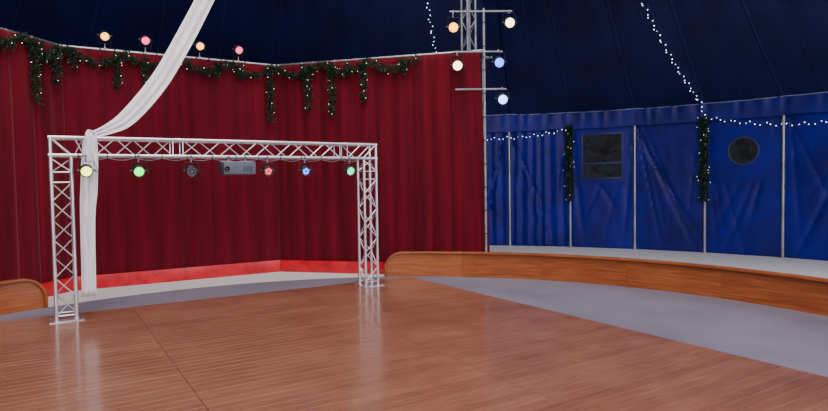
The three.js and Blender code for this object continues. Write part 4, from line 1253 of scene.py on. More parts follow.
for name, settings in curtainPanels.items():
    makeCurtain(name, *settings)
makeCurtainTops()
makePlinth()
print("curtain made")


# Garland along the rail and down four side poles

garland = {
    "seed": 23,
    "sprigs": 8,       # different sprigs, used again and again
    "leaves": 10,
    "leafLength": (0.03, 0.065),
    "leafWidth": 0.02,
    "stem": 0.06,
    "perMetre": 120,
    "inwards": 0.185,   # from the rail's middle
    "height": 4.33,
    "swag": 0.22,      # how far it dips between two ties
    "tie": 0.95,       # from tie to tie along the rail
    "endShares": (1, 1, 0.71),   # where it ends on each side of the rail
    "bulbsPerMetre": 8,
    "bulb": 0.0065,
    # side of the rail, share along it, length
    "tails": [(0, 0.45, 0.7), (0, 0.85, 1.1), (0, 0.95, 0.75), (1, 0.215, 0.72), (1, 0.334, 0.6),
              (1, 0.97, 1.2), (2, 0.17, 1.0), (2, 0.29, 1.15), (2, 0.45, 0.9)],
    "polesTop": 3.36,
    # side pole, and the height where its garland ends
    "poles": {7: 1.2, 9: 1.2, -7: 1.26, -9: 1.22},
}


def makeSprig(dice):
    part = bmesh.new()
    for i in range(garland["leaves"]):
        length = dice.uniform(*garland["leafLength"])
        width = garland["leafWidth"] * dice.uniform(0.5, 1.1)
        turn = (Matrix.Rotation(dice.uniform(0, 2 * math.pi), 4, "Z")
                @ Matrix.Rotation(dice.uniform(0.0, 1.3), 4, "X")
                @ Matrix.Rotation(dice.uniform(0, math.pi), 4, "Y"))
        place = (Matrix.Translation((0, 0, garland["stem"] * i / garland["leaves"])) @ turn
                 @ Matrix.Translation((0, length / 2, 0)) @ Matrix.Diagonal((width / 2, length / 2, 1, 1)))
        bmesh.ops.create_circle(part, cap_ends=True, segments=5, radius=1, matrix=place)
    giveTone(part, dice.random())
    return meshFrom("sprig", part)


def makeBulb(radius, socket):
    part = bmesh.new()
    ball(part, (0, 0, socket + radius * 0.7), radius, 1)
    rod(part, (0, 0, 0), (0, 0, socket + 0.001), radius * 0.6, 6, 2)
    return meshFrom("bulb", part)


def stamp(bm, mesh, place):
    mesh.transform(place)
    bm.from_mesh(mesh)
    mesh.transform(place.inverted())


def tossed(dice, direction):
    spin = Matrix.Rotation(dice.uniform(0, 2 * math.pi), 4, "Z")
    return Vector(direction).to_track_quat("Z", "Y").to_matrix().to_4x4() @ spin


def addGreenery(bm, dice, sprigs, bulb, start, end, thick, fuller=1.0):
    start, end = Vector(start), Vector(end)
    along = (end - start).normalized()
    side = along.orthogonal().normalized()
    other = along.cross(side)
    length = (end - start).length
    for i in range(round(length * garland["perMetre"] * fuller)):
        share = dice.random()
        angle = dice.uniform(0, 2 * math.pi)
        outward = side * math.cos(angle) + other * math.sin(angle)
        swell = 0.75 + 0.35 * noise.noise(start + along * share * length * 4)
        place = start.lerp(end, share) + outward * thick * swell * dice.uniform(0.1, 0.55)
        heading = outward + along * dice.uniform(-0.9, 0.9)
        size = Matrix.Scale(dice.uniform(0.7, 1.1), 4)
        stamp(bm, dice.choice(sprigs), Matrix.Translation(place) @ tossed(dice, heading) @ size)
    for i in range(round(length * garland["bulbsPerMetre"])):
        angle = dice.uniform(0, 2 * math.pi)
        outward = side * math.cos(angle) + other * math.sin(angle)
        place = start.lerp(end, dice.random()) + outward * thick * 0.85
        stamp(bm, bulb, Matrix.Translation(place) @ tossed(dice, outward))
    rod(bm, start, end, 0.006, 6, 2)


def makeGarlands():
    dice = random.Random(garland["seed"])
    sprigs = [makeSprig(dice) for _ in range(garland["sprigs"])]
    bulb = makeBulb(garland["bulb"], 0.008)
    bm = bmesh.new()
    line = movedIn(garland["inwards"])
    height = garland["height"]
    for side in range(3):
        end = line[side].lerp(line[side + 1], garland["endShares"][side])
        length = (end - line[side]).length
        ties = round(length / garland["tie"])
        steps = ties * 6
        for i in range(steps):
            ends = []
            for share in (i / steps, (i + 1) / steps):
                dip = garland["swag"] * abs(math.sin(math.pi * ties * share))
                ends.append(line[side].lerp(end, share) + upward * (height - dip))
            addGreenery(bm, dice, sprigs, bulb, *ends, 0.085)
        for i in range(ties):   # short ends that hang down beside the ties
            if dice.random() < 0.75:
                place = line[side].lerp(end, (i + dice.uniform(0.1, 0.9)) / ties) + upward * height
                foot = place - upward * dice.uniform(0.2, 0.42)
                addGreenery(bm, dice, sprigs, bulb, place, foot, 0.07, 0.8)
    for side, share, length in garland["tails"]:
        place = line[side].lerp(line[side + 1], share)
        foot = height + 0.03 - length
        top, middle, low = (place + upward * z for z in (height, foot + length * 0.4, foot + 0.05))
        addGreenery(bm, dice, sprigs, bulb, top, middle, 0.08)
        addGreenery(bm, dice, sprigs, bulb, middle, low, 0.065, 0.8)
    newPiece("garland_on_rail", bm, ["leaf", "warmBulb", "wire"], replaced=["rail_garland"])
    bm = bmesh.new()
    for index, foot in garland["poles"].items():
        place = around(tent["poleRing"] - tent["poleRadius"] - 0.08, index)
        top, middle, low = (place + upward * z for z in (garland["polesTop"], foot + 0.5, foot + 0.08))
        addGreenery(bm, dice, sprigs, bulb, top, middle, 0.17, 2.6)
        addGreenery(bm, dice, sprigs, bulb, middle, low, 0.12, 1.8)
    newPiece("garlands_on_poles", bm, ["leaf", "warmBulb", "wire"])
    for mesh in [*sprigs, bulb]:
        bpy.data.meshes.remove(mesh)


makeGarlands()
print("garlands made")


# Lamps. In its own frame a lamp shines towards -Y and tilts about X.

lampKinds = {
    "mast": {"radius": 0.1, "front": 0.12, "back": 0.11, "yoke": 0.175, "tilt": 18},
    "rail": {"radius": 0.085, "front": 0.1, "back": 0.09, "yoke": 0.15, "tilt": 22},
    "portal": {"radius": 0.08, "front": 0.07, "back": 0.08, "yoke": 0.125, "tilt": 15},
}
yoke = {
    "clearance": 0.014,
    "thickness": 0.005,
    "width": 0.03,
    "foot": 0.015,
    "stem": 0.0105,
    "knob": 0.019,
}
lampLight = {
    "amber": ("#ffb84a", "#ffa62a", 5.0),
    "warm": ("#ffe6b8", "#ffdca4", 6.0),
    "yellow": ("#eeff7a", "#e4ff50", 4.0),
    "green": ("#30f080", "#00ff58", 3.2),
    "seaGreen": ("#30e0a8", "#10e09a", 3.0),
    "blue": ("#4a78ff", "#2c5cff", 6.0),
    "iceBlue": ("#a0bcff", "#88a8ff", 6.0),
    "pink": ("#ff5a86", "#ff3a70", 3.0),
    "red": ("#ff2a3a", "#ff1228", 3.5),
    "dark": ("#3a4050", "#3a4050", 0.0),
}
for name, settings in lampLight.items():
    finishes[name + "Lens"] = litLens(name + "_lamp_lens", *settings)

mast = {
    "distance": 6.62,
    "angle": 48.5,
    "barTurn": -30,
    "radius": 0.024,
    "height": 5.17,
    "sleeves": (1.75, 3.3),   # heights where the mast's lengths meet
    "foot": 0.04,
    "barRadius": 0.017,
    "bars": [(5.11, -0.65, 0.545), (4.345, -0.59, 0.35), (3.63, -0.56, 0.42)],
    # along the bar, height of the lamp, which bar, light
    "lamps": [(-0.59, 4.82, 0, "amber"), (0.487, 4.9, 0, "warm"), (-0.522, 4.1, 1, "warm"),
              (0.278, 4.15, 1, "blue"), (0.339, 3.45, 2, "iceBlue")],
}
portal = {
    "middleX": 0.25,
    "frontY": 4.65,
    "width": 5.0,
    "foot": 0.0303,
    "plate": 0.42,
    "plateBolts": 0.17,   # from the middle of the plate
    "height": 2.535,
    "joints": (-1.76, -0.6, 2.1),
    "legJoint": 2.0,
    "lampHeight": 2.085,
    "lampY": 4.67,
    # along the beam, light, petals of the lamp's flower
    "lamps": [(-1.82, "yellow", 0), (-1.145, "green", 0), (-0.42, "dark", 6), (0.75, "red", 5),
              (1.385, "blue", 5), (2.2, "seaGreen", 0)],
    # the unlit lamp that gets a pale half ring over its rim, a painted highlight
    "paintedRimHighlight": "portal_lamp_3",
    "armReach": 0.22,   # of the first lamp's arm, forwards and to the side
    "armAside": 0.08,
}
truss = {
    "width": 0.29,
    "chord": 0.024,
    "brace": 0.0085,
    "pitch": 0.27,
    "fewest": 1,       # braces on each side of a section
    "rung": 0.07,      # from a joint to the first rung
    "lead": 0.35,      # from the beam's ends to its mains lead
}
portal["top"] = portal["foot"] + portal["height"]
portal["under"] = portal["top"] - truss["width"]
mastAngle, mastTurn = math.radians(mast["angle"]), math.radians(mast["barTurn"])
mastFoot = Vector((math.sin(mastAngle), math.cos(mastAngle), 0)) * mast["distance"]
mastAcross = Vector((math.cos(mastTurn), math.sin(mastTurn), 0))


def onMast(distance, z):
    return mastFoot + mastAcross * distance + upward * z


def makeLamp(name, kind, place, turn, light, petals=0):
    shape = lampKinds[kind]
    radius, front, back = shape["radius"], shape["front"], shape["back"]
    paintedRimHighlight = name == portal["paintedRimHighlight"]
    bm = bmesh.new()
    lathe(bm, [
        (0, -front + 0.019), (radius - 0.013, -front + 0.019), (radius - 0.01, -front + 0.001),
        (radius - 0.007, -front), (radius - 0.002, -front), (radius, -front + 0.003),
        (radius, -front + 0.012), (radius - 0.004, -front + 0.016),
        (radius - 0.004, -0.022), (radius - 0.001, -0.018),
        (radius - 0.001, -0.006), (radius - 0.004, -0.002), (radius - 0.004, back * 0.42),
        (radius * 0.93, back * 0.5), (radius * 0.66, back * 0.94), (radius * 0.58, back), (0, back),
    ], 32, 0)
    for share in (0.56, 0.68, 0.8):   # cooling ribs round the back
        rib = radius * (0.93 - 0.27 * (share - 0.5) / 0.44)
        lathe(bm, band(rib - 0.004, rib + 0.008, 0.0015, back * share), 28, 0)
    rim, lensY = radius - 0.014, -front + 0.016
    if petals:
        lathe(bm, [(0, lensY), (rim, lensY), (rim, lensY + 0.004), (0, lensY + 0.004)], 28, 3)
        for i in range(petals):
            centre = roundY(2 * math.pi * i / petals + math.pi / 2, radius * 0.46, lensY - 0.002)
            ball(bm, centre, radius * 0.23, 1, 2, flat=0.45)
        ball(bm, (0, lensY - 0.001, 0), radius * 0.17, 2, 2, flat=0.5)   # the flower's heart
    else:
        lathe(bm, [(0, lensY - 0.01), (rim * 0.4, lensY - 0.0085), (rim * 0.7, lensY - 0.005),
                   (rim, lensY + 0.001), (rim, lensY + 0.004), (0, lensY + 0.004)], 32, 1)
    for i in range(3):   # clips that hold the lens
        angle = 2 * math.pi * i / 3 + 0.5
        block(bm, roundY(angle, radius - 0.007, -front - 0.001), (0.012, 0.004, 0.016), 2, 0.0012,
              Matrix.Rotation(-angle, 4, "Y"))
    reach = radius + yoke["clearance"] - 0.0003
    for side in (-1, 1):   # the pins it tilts on
        rod(bm, (side * (radius - 0.01), 0, 0), (side * reach, 0, 0), 0.009, 14, 2)
        rod(bm, (side * (radius - 0.006), 0, 0), (side * (radius + 0.006), 0, 0), 0.016, 16, 0)
    block(bm, (0, back + 0.004, -radius * 0.2), (0.03, 0.012, 0.02), 0, 0.003)   # where the lead goes in
    # a pale aluminium half ring over the top of the lens rim: a painted highlight of the rim lit from above,
    # not a shade
    if paintedRimHighlight:
        forwards = Matrix.Translation((0, -front + 0.002, 0)) @ Matrix.Rotation(math.pi / 2, 4, "X")
        rimHighlightRing = bmesh.ops.create_cone(bm, cap_ends=False, segments=32, radius1=radius + 0.001,
                                     radius2=radius + 0.003, depth=0.022, matrix=forwards)["verts"]
        giveFinish(rimHighlightRing, 4)
        bmesh.ops.delete(bm, geom=[vert for vert in rimHighlightRing if vert.co.z < radius * 0.25], context="VERTS")
    tilt = Matrix.Rotation(math.radians(shape["tilt"]), 4, "X")
    bmesh.ops.transform(bm, matrix=standing(place, turn) @ tilt, verts=bm.verts)
    finish = ["lampBlack", light + "Lens", "boltSteel", "lampGrey", "truss"]
    newPiece(name + "_can", bm, finish, body=name, replaced=[name], outwards=not paintedRimHighlight)


# The fork that carries a lamp, with its knobs, its stem and a clamp on the pipe. On the rail, the mast and
# the beam, finish 1 is steel, 2 the yokes and 3 the leads.
def addYoke(bm, kind, place, turn, side, pipeZ, pipeRadius):
    inside, top, foot = lampKinds[kind]["radius"] + yoke["clearance"], lampKinds[kind]["yoke"], -yoke["foot"]
    outside, half = inside + yoke["thickness"], yoke["width"] / 2
    right = [(inside - 0.012, top - yoke["thickness"]), (inside, top - 0.02), (inside, foot), (outside, foot),
             (outside, top - 0.018), (outside - 0.018, top)]
    outline = right + [(-x, z) for x, z in reversed(right)]
    part = bmesh.new()
    extruded(part, [(x, -half, side * z) for x, z in outline], (0, yoke["width"], 0))
    bevelEdges(part, [edge for edge in part.edges if edge.calc_face_angle(0) > 1.2], 0.0012, 1)
    giveFinish(part.verts, 2)
    for end in (-1, 1):
        rod(part, (end * outside, 0, 0), (end * (outside + 0.003), 0, 0), 0.014, 16, 1)
        rod(part, (end * (outside + 0.003), 0, 0), (end * (outside + 0.016), 0, 0), yoke["knob"], 10, 2,
            tip=yoke["knob"] - 0.003)
    middle = pipeZ - place[2]
    height = side * middle
    origin = Vector((0, 0, 0))
    upright(part, origin, side * (top - 0.006), side * (height - pipeRadius * 0.6), yoke["stem"], 12, 1)
    upright(part, origin, side * (top - 0.001), side * (top + 0.008), 0.017, 6, 1)
    near = -side if height < top + 0.02 else side   # a lamp close under its pipe has the clamp's nut above it
    lathe(part, band(pipeRadius - 0.001, pipeRadius + 0.005, 0.015), 24, 1, (1, 0, 0), (0, 0, middle))
    block(part, (0, 0, middle - near * (pipeRadius + 0.009)), (0.028, 0.034, 0.018), 1, 0.003)
    upright(part, Vector((0, -pipeRadius - 0.012, middle)), -0.014, 0.014, 0.006, 8, 1)
    merge(bm, part, standing(place, turn))


# A lead that leaves a lamp at its knob and goes up its yoke to the pipe
def addLead(bm, kind, place, turn, pipeZ):
    shape = lampKinds[kind]
    out = shape["radius"] + yoke["clearance"] + yoke["thickness"]
    rise = pipeZ - place[2]
    side = math.copysign(1, rise)
    points = [(out + 0.012, 0, 0), (out + 0.03, 0.01, -0.03 * side), (out + 0.035, 0.03, 0.03 * side),
              (out + 0.012, 0.03, shape["yoke"] * 0.6 * side), (out - 0.01, 0.03, rise * 0.9),
              (out - 0.03, 0.01, rise + 0.026)]
    sweep(bm, [standing(place, turn) @ point for point in curveThrough(points, 5)], 0.0035, 7, 3)


railLampPlaces = [Vector((x, rail["path"][1][1], rail["height"] + rail["lampRise"])) for x in rail["lamps"]]
mastLampPlaces = [onMast(distance, z) for distance, z, _, _ in mast["lamps"]]
portalLampPlaces = [Vector((x, portal["lampY"] - (portal["armReach"] if i == 0 else 0), portal["lampHeight"]))
                    for i, (x, _, _) in enumerate(portal["lamps"])]


def makeLamps():
    for i, (place, light) in enumerate(zip(railLampPlaces, rail["lights"]), 1):
        makeLamp(f"rail_lamp_{i}", "rail", place, 0, light)
    for i, (place, (_, _, _, light)) in enumerate(zip(mastLampPlaces, mast["lamps"]), 1):
        makeLamp(f"mast_lamp_{i}", "mast", place, mastTurn, light)
    for i, (place, (_, light, petals)) in enumerate(zip(portalLampPlaces, portal["lamps"]), 1):
        makeLamp(f"portal_lamp_{i}", "portal", place, 0, light, petals)


makeLamps()
print("lamps made")


# The rail with its posts, and the lamp mast

def addFoot(bm, place, radius):
    upright(bm, place, 0, 0.012, radius, 28, 0)
    for i in range(4):
        angle = math.pi / 4 + i * math.pi / 2
        bolt = place + Vector((math.cos(angle), math.sin(angle), 0)) * radius * 0.82
        upright(bm, bolt, 0.011, 0.017, radius * 0.12, 6, 1)


# Two round clamps back to back, where two pipes cross or meet
def addCoupler(bm, place, first, second, radius):
    for axis in (first, second):
        start = Vector(place) - Vector(axis).normalized() * 0.022
        rod(bm, start, start + Vector(axis).normalized() * 0.044, radius + 0.008, 18, 1)
    block(bm, place, (radius * 1.8, radius * 1.8, radius * 1.8), 1, 0.004)


def makeRail():
    bm = bmesh.new()
    radius, height = rail["radius"], rail["height"]
    points = [Vector((*point, height)) for point in rail["path"]]
    sweep(bm, points, radius, 16, 0)
    for i, point in enumerate(points):
        foot, along = Vector((point.x, point.y, 0)), railSide(min(i, 2))[2]
        addFoot(bm, foot, rail["footRadius"])
        upright(bm, foot, 0, height - radius * 0.5, radius - 0.001, 16, 0)
        upright(bm, point, -0.075, -0.02, radius + 0.008, 18, 1)
        rod(bm, point - along * 0.03, point + along * 0.03, radius + 0.007, 18, 1)
        for z in rail["sleeves"]:
            upright(bm, foot, z, z + 0.09, radius + 0.004, 16, 1)
    near = Vector((*rail["path"][0], rail["tieHeight"]))
    far = Vector((near.x, rail["tieEnd"], near.z))
    rod(bm, near, far, 0.0125, 12, 0)
    addCoupler(bm, near, (0, 0, 1), (0, 1, 0), radius)
    rod(bm, far - Vector((0, 0.006, 0)), far, 0.03, 16, 1)
    for place in railLampPlaces:
        addYoke(bm, "rail", place, 0, -1, height, radius)
        addLead(bm, "rail", place, 0, height)
    ends = [railLampPlaces[0].x - 0.2, railLampPlaces[-1].x + 0.25]
    lead = [Vector((x, railLampPlaces[0].y, height + 0.029)) for x in ends]
    sweep(bm, lead, 0.005, 8, 3)
    for i in range(12):   # tape that holds the lead to the rail
        place = lead[0].lerp(lead[1], (i + 0.5) / 12) - upward * 0.0285
        rod(bm, place - Vector((0.012, 0, 0)), place + Vector((0.012, 0, 0)), radius + 0.006, 16, 3)
    newPiece("rail_and_posts", bm, ["railPipe", "boltSteel", "lampBlack", "wire"],
             replaced=["curtain_rail"])


def makeMast():
    bm = bmesh.new()
    radius, height, barRadius = mast["radius"], mast["height"], mast["barRadius"]
    addFoot(bm, mastFoot, mast["foot"])
    upright(bm, mastFoot, 0, height - 0.004, radius, 18, 0)
    upright(bm, mastFoot, height - 0.012, height, radius + 0.002, 18, 1)
    for z in mast["sleeves"]:
        upright(bm, mastFoot, z, z + 0.08, radius + 0.005, 18, 1)
    for z, low, high in mast["bars"]:
        rod(bm, onMast(low, z), onMast(high, z), barRadius, 14, 0)
        for end, way in ((low, 1), (high, -1)):   # end caps
            rod(bm, onMast(end - way * 0.001, z), onMast(end + way * 0.02, z), barRadius + 0.002, 14, 1)
        addCoupler(bm, onMast(0, z), (0, 0, 1), mastAcross, radius)
    for place, (_, _, level, _) in zip(mastLampPlaces, mast["lamps"]):
        barZ = mast["bars"][level][0]
        addYoke(bm, "mast", place, mastTurn, 1, barZ, barRadius)
        addLead(bm, "mast", place, mastTurn, barZ)
    for z, low, high in mast["bars"]:   # leads on the bars and down the mast
        sweep(bm, [onMast(low + 0.05, z + 0.022), onMast(high - 0.05, z + 0.022)], 0.005, 8, 3)
    behind = mastFoot + Vector((-mastAcross.y, mastAcross.x, 0)) * (radius + 0.005)
    sweep(bm, [behind + upward * 0.05, behind + upward * (mast["bars"][0][0] + 0.02)], 0.006, 8, 3)
    for i in range(11):   # tape round the mast
        z = 0.4 + 0.45 * i
        upright(bm, mastFoot, z - 0.01, z + 0.01, radius + 0.0125, 16, 3)
    # ties from the mast to the king pole and the end of the rail
    z, (railX, railY), poleX = rail["tieHeight"], rail["path"][3], tent["kingOffset"] - 0.105
    rod(bm, (mastFoot.x, mastFoot.y, z), (poleX + 0.015, mastFoot.y, z), 0.015, 12, 0)
    addCoupler(bm, (mastFoot.x, mastFoot.y, z), (0, 0, 1), (1, 0, 0), radius)
    for x, y, thick in ((poleX, tent["kingOffset"] - 0.1253, 0.015),
                        (railX, railY - rail["radius"] - 0.0003, 0.012)):
        rod(bm, (x, mastFoot.y, z), (x, y, z), thick, 12, 0)
        rod(bm, (x, mastFoot.y - 0.02, z), (x, mastFoot.y + 0.02, z), thick + 0.005, 16, 1)
        rod(bm, (x, y - 0.006, z), (x, y, z), thick + 0.01, 16, 1)
    newPiece("mast_and_bars", bm, ["mastPaint", "boltSteel", "lampBlack", "wire"],
             replaced=["lamp_mast"])


makeRail()
makeMast()
print("rail and mast made")


# Portal of box truss, with its projector

# A length of box truss, with sleeves and bolts at the ends where it is joined
def trussSection(bm, place, length, joined=(True, True), phase=0):
    low, high = (truss["rung"] if end else 0.02 for end in joined)
    high = length - high
    joints = [joint for joint, end in zip(((0, 1, low), (length, -1, high)), joined) if end]
    rungs = [rung for _, _, rung in joints]
    at = lattice(bm, place, truss, length, low, high, rungs, (18, 10), phase)
    chord, out = truss["chord"], place.to_3x3() @ Vector((0, 1, 0))
    for post in range(4):
        for stop, way, _ in joints:
            rod(bm, at(post, stop + way * 0.001), at(post, stop + way * 0.045), chord + 0.004, 18, 0)
            bolt = at(post, stop + way * 0.02) + out * chord
            rod(bm, bolt, bolt + out * 0.012, 0.006, 6, 1)


def makePortalLeg(name, side):
    bm = bmesh.new()
    x = portal["middleX"] + side * (portal["width"] - truss["width"]) / 2
    y = portal["frontY"] + truss["width"] / 2
    plate, joint = portal["foot"] + 0.01, portal["legJoint"]
    block(bm, (x, y, portal["foot"] + 0.005), (portal["plate"], portal["plate"], 0.01), 0, 0.002)
    for across, along in corners(portal["plateBolts"]):
        upright(bm, Vector((x + across, y + along, plate)), 0, 0.012, 0.011, 6, 1)
    trussSection(bm, Matrix.Translation((x, y, plate)), joint - plate)
    trussSection(bm, Matrix.Translation((x, y, joint)), portal["under"] - joint - 0.0003, (True, False), 1)
    newPiece("truss_leg_" + name, bm, ["truss", "boltSteel"],
             replaced=["portal_leg_" + name])


def makePortalBeam():
    bm = bmesh.new()
    width, chord, brace = truss["width"], truss["chord"], truss["brace"]
    left = portal["middleX"] - portal["width"] / 2
    right = left + portal["width"]
    y, z = portal["frontY"] + width / 2, portal["top"] - width / 2
    lay = Matrix.Rotation(math.pi / 2, 4, "Y")
    stops = [left + width, *portal["joints"], right - width]
    for i, (start, end) in enumerate(zip(stops, stops[1:])):
        joined = (i > 0, i < len(stops) - 2)
        trussSection(bm, Matrix.Translation((start, y, z)) @ lay, end - start, joined, i % 2)
    low, high = portal["under"] + chord, portal["top"] - chord
    front, back = portal["frontY"] + chord, portal["frontY"] + width - chord
    for outer, inner in ((left + chord, left + width), (right - chord, right - width)):   # the corner boxes
        away = math.copysign(1, inner - outer)
        for side in (front, back):
            rod(bm, (outer, side, low - chord), (outer, side, high), chord, 18, 0)
            for height in (low, high):
                rod(bm, (outer - away * chord, side, height), (inner, side, height), chord, 18, 0)
            rod(bm, (outer, side, high), (inner - away * 0.01, side, low), brace, 10, 0)
        for height in (low, high):
            rod(bm, (outer, front, height), (outer, back, height), chord * 0.9, 16, 0)
            rod(bm, (outer, front, height), (inner, back, height), brace, 10, 0)
    for i, place in enumerate(portalLampPlaces):
        addYoke(bm, "portal", place, 0, 1, low if i else low - 0.012, chord if i else 0.006)
        addLead(bm, "portal", place, 0, portal["under"] + 0.01)
    arm = Vector((portalLampPlaces[0].x, portal["lampY"], portal["under"] + 0.006))
    forward, aside = portal["armReach"], portal["armAside"]
    block(bm, arm - Vector((aside, forward / 2, 0)), (0.03, forward + 0.03, 0.016), 2, 0.002)
    block(bm, arm - Vector((aside / 2, forward, 0)), (aside + 0.03, 0.03, 0.0158), 2, 0.002)
    start, length, steps = left + truss["lead"], portal["width"] - 2 * truss["lead"], 60
    lead = []
    for i in range(steps + 1):   # mains lead that hangs in short loops under the beam's front chord
        sag = 0.035 * abs(math.sin(math.pi * i / 5))
        lead.append((start + length * i / steps, portal["frontY"] + 0.012, portal["under"] - 0.006 - sag))
    sweep(bm, lead, 0.0045, 8, 4)
    for i in range(13):
        place = (start + length * i / 12, front, low)
        lathe(bm, band(chord, chord + 0.005, 0.006), 18, 3, (1, 0, 0), place)
    newPiece("truss_beam", bm, ["truss", "boltSteel", "lampBlack", "wire", "lampGrey"],
             replaced=["portal_beam"])


projector = {
    "x": 0.265,
    "y": 4.67,
    "size": (0.49, 0.36, 0.2),
    "top": 2.22,
    "lens": (0.065, 2.11, 0.038),   # x, height, radius
    "posts": (-0.13, 0.13),    # of its hanger, from its middle
}


def makeProjector():
    bm = bmesh.new()
    width, depth, height = projector["size"]
    x, y, top = projector["x"], projector["y"], projector["top"] - 0.0003
    front, z = y - depth / 2, top - height / 2
    block(bm, (x, y, z), projector["size"], 0, 0.012, segments=3)
    for i in range(9):   # louvres at one end of the front, and on both sides
        block(bm, (x + 0.05 + i * 0.018, front - 0.0005, z - 0.01), (0.006, 0.004, 0.09), 1, 0.001)
        for side in (-1, 1):
            block(bm, (x + side * width / 2, y - 0.09 + i * 0.022, z), (0.004, 0.008, 0.09), 1, 0.001)
    lensX, lensZ, radius = projector["lens"]
    barrel = [(radius * 0.55, 0.02), (radius * 0.7, -0.022), (radius * 0.86, -0.03), (radius, -0.03),
              (radius, -0.012), (radius * 0.96, -0.008), (radius * 0.96, 0.04)]
    lathe(bm, barrel, 32, 1, centre=(lensX, front, lensZ))
    glass = [(0, -0.012), (radius * 0.4, -0.009), (radius * 0.66, 0.0), (radius * 0.66, 0.01), (0, 0.01)]
    lathe(bm, glass, 32, 2, centre=(lensX, front, lensZ))
    newPiece("projector_case", bm, ["projectorGrey", "lampBlack", "glass"],
             replaced=["projector"])
    bm = bmesh.new()
    chord, pipe = truss["chord"], portal["frontY"] + truss["chord"]
    block(bm, (x, y, projector["top"] + 0.004), (width, 0.04, 0.008), 0, 0.002)
    for away in projector["posts"]:
        foot = Vector((x + away, y - 0.01, projector["top"] + 0.006))
        rod(bm, foot, (foot.x, pipe, portal["under"] + 0.004), 0.008, 12, 0)
        rod(bm, foot + Vector((0, -0.05, 0.004)), foot + Vector((0, 0.05, 0.004)), 0.006, 10, 0)
        lathe(bm, band(chord, chord + 0.008, 0.02), 20, 1, (1, 0, 0), (foot.x, pipe, portal["under"] + chord))
    newPiece("projector_hanger", bm, ["truss", "boltSteel"])


makePortalLeg("left", -1)
makePortalLeg("right", 1)
makePortalBeam()
makeProjector()
print("portal made")


# Drape of voile, from the ridge cable over the beam

drape = {
    # x, y, z, half width
    "path": [(1.5045, 5.355, 8.4345, 0.04), (1.51, 5.355, 8.33, 0.05), (1.215, 5.35, 7.6, 0.11),
             (0.75, 5.345, 6.4, 0.13), (-0.004, 5.33, 4.856, 0.135), (-0.36, 5.29, 4.155, 0.135),
             (-0.747, 5.22, 3.474, 0.135), (-1.195, 5.12, 2.91, 0.12), (-1.47, 5.06, 2.712, 0.08),
             (-1.71, 5.03, 2.6107, 0.045)],
    "front": [(-1.73, 4.74, 2.587, 0.06), (-1.74, 4.605, 2.575, 0.072), (-1.76, 4.6, 2.3, 0.098),
              (-1.785, 4.6, 1.85, 0.104), (-1.815, 4.6, 1.4, 0.092), (-1.83, 4.6, 0.35, 0.088)],
    "width": 0.34,     # of the flat cloth
    "columns": 30,
    "steps": 11,       # between two points of the path
    "folds": 2.5,
    "foldDepth": 0.013,
    "gatherDepth": 0.02,
}


def makeDrape():
    path = [*drape["path"], *drape["front"]]
    centres = curveThrough([point[:3] for point in path], drape["steps"])
    widths = curveThrough([(point[3], 0, 0) for point in path], drape["steps"])
    rows = len(centres) - 1
    frames = []
    for i, centre in enumerate(centres):
        heading = (centres[min(i + 1, rows)] - centres[max(i - 1, 0)]).normalized()
        across = heading.cross(Vector((0, 1, 0))).normalized()
        frames.append((centre, across, heading.cross(across), widths[i].x))
    length = sum((end - start).length for start, end in zip(centres, centres[1:]))

    def point(u, v):
        row = min(round(v * rows), rows)
        centre, across, through, half = frames[row]
        tight = 1 - smoothStep(half, 0.05, 0.12)
        depth = drape["foldDepth"] * (1 - tight) + drape["gatherDepth"] * tight
        drift = 0.8 * noise.noise(Vector((v * 6, 3.0, 0)))
        drift += 1.2 * noise.noise(Vector((u * 2, v * 9, 1)))
        fold = math.sin(2 * math.pi * drape["folds"] * (u - 0.5) + drift)
        cup = 0.012 * ((2 * u - 1) ** 2) * (1 - tight)
        edge = 1 + 0.035 * noise.noise(Vector((v * 14, 8.0, 0)))
        return centre + across * (2 * u - 1) * half * edge + through * (depth * fold * 0.8 - cup)

    bm = clothGrid(drape["columns"], rows, point, (drape["width"], length))
    uvLayer = bm.loops.layers.uv["UVMap"]
    for face in bm.faces:   # hems
        share = flatMiddle(face, uvLayer)[0] / drape["width"]
        if share < 0.05 or share > 0.95:
            face.material_index = 1
    piece = newPiece("voile_drape", bm, ["voile", "hem"], replaced=["drape_swag"],
                     smoothUnder=80)
    thicken(piece, 0.002)


makeDrape()
print("drape made")


# Strings of lights, each of two twisted wires, slanting down the roof and from hook to hook under the eave

lights = {
    # side, slant at the ridge in bays, the poles with its hooks
    "strings": {
        "front_left": (-1, 0.87, (9, 10, 11, 12, 13)),
        "front_right": (1, 0.87, (9, 10, 11, 12, 13)),
        "back_left": (-1, 0.41, (5, 6, 7)),
        "back_right": (1, 0.41, (5, 6, 7)),
    },
    "start": 0.12,       # share of the roof's slope where a string begins
    "under": 0.052,      # below the roof's upper side
    "wire": 0.0028,
    "apart": 0.018,
    "twist": 0.55,
    "sag": 0.05,
    "step": 0.11,
    "bulb": 0.011,
    "clips": 9,
}


def stringLine(side, slant, poles):
    last = roofShareAt(side * poles[0], tent["wireRing"])
    points = []
    for i in range(30):
        share = lights["start"] + (last - lights["start"]) * i / 29
        point = roofSurface(side * (poles[0] - slant * (1 - share)), share)
        points.append(point - upward * lights["under"])
    heights = sidePoles["wireHeights"]
    hooks = [around(tent["wireRing"], side * pole, heights[pole]) for pole in poles]
    stops = [points[-1], *hooks]
    for start, end in zip(stops, stops[1:]):
        hangs = lights["sag"] if abs(start.z - end.z) < 0.5 and (end - start).length > 0.9 else 0.0
        for i in range(1, 11):
            share = i / 10
            points.append(start.lerp(end, share) - upward * hangs * 4 * share * (1 - share))
    return points


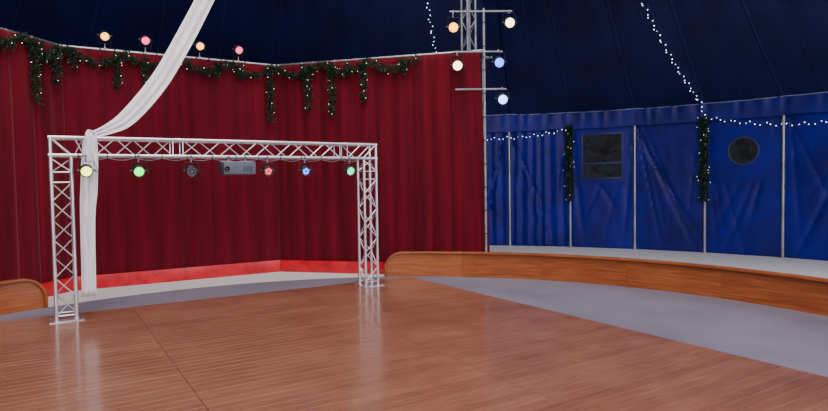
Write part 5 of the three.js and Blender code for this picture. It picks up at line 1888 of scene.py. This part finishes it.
# Points at even steps along a line
def evenly(points, step):
    line = [points[0]]
    left = step
    for start, end in zip(points, points[1:]):
        length = (end - start).length
        done = 0.0
        while length - done >= left:
            done += left
            line.append(start.lerp(end, done / length))
            left = step
        left -= length - done
    return line


# Clips that hang a string from the roof
def addClips(bm, side, slant, pole):
    last = roofShareAt(side * pole, tent["wireRing"])
    for i in range(lights["clips"]):
        share = lights["start"] + (last - lights["start"]) * (i + 0.5) / lights["clips"]
        top = roofSurface(side * (pole - slant * (1 - share)), share, -tent["roofThickness"] - 0.004)
        upright(bm, top, 0.004 - lights["under"], 0, 0.0022, 6)
        upright(bm, top, -0.003, 0, 0.012, 10)


def makeLightString(name, side, slant, poles, bulb):
    dice = random.Random(len(name) + poles[0])
    bm = bmesh.new()
    addClips(bm, side, slant, poles[0])
    line = evenly(stringLine(side, slant, poles), lights["step"])
    for strand in (0, 1):
        wire = []
        for i, point in enumerate(line):
            along = (line[min(i + 1, len(line) - 1)] - line[max(i - 1, 0)]).normalized()
            across = along.cross(upward)
            if across.length < 0.3:
                across = around(1, side * poles[0]).cross(upward)
            across.normalize()
            angle = 2 * math.pi * i * lights["step"] / lights["twist"] + math.pi * strand
            offset = across * math.cos(angle) - along.cross(across) * math.sin(angle)
            place = point + offset * lights["apart"] * dice.uniform(0.6, 1.2)
            wire.append(place)
            if i % 2 == strand and i:
                heading = offset - upward * 0.6 + along * dice.uniform(-1, 1)
                stamp(bm, bulb, Matrix.Translation(place) @ tossed(dice, heading))
        sweep(bm, wire, lights["wire"], 5, 0)
    newPiece("string_of_lights_" + name, bm, ["wire", "coldBulb", "wire"],
             replaced=["light_string_" + name])


def makeLightStrings():
    bulb = makeBulb(lights["bulb"], 0.014)
    for name, settings in lights["strings"].items():
        makeLightString(name, *settings, bulb)
    bpy.data.meshes.remove(bulb)


makeLightStrings()
print("strings of lights made")


# Nodes whose shape is right as it is

def dress(node, finish):
    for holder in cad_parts[node].material_slots:
        holder.material = finishes[finish]


dress("ring_mat", "mat")
dress("ridge_cable", "wireRope")
print("mat and ridge cable dressed")
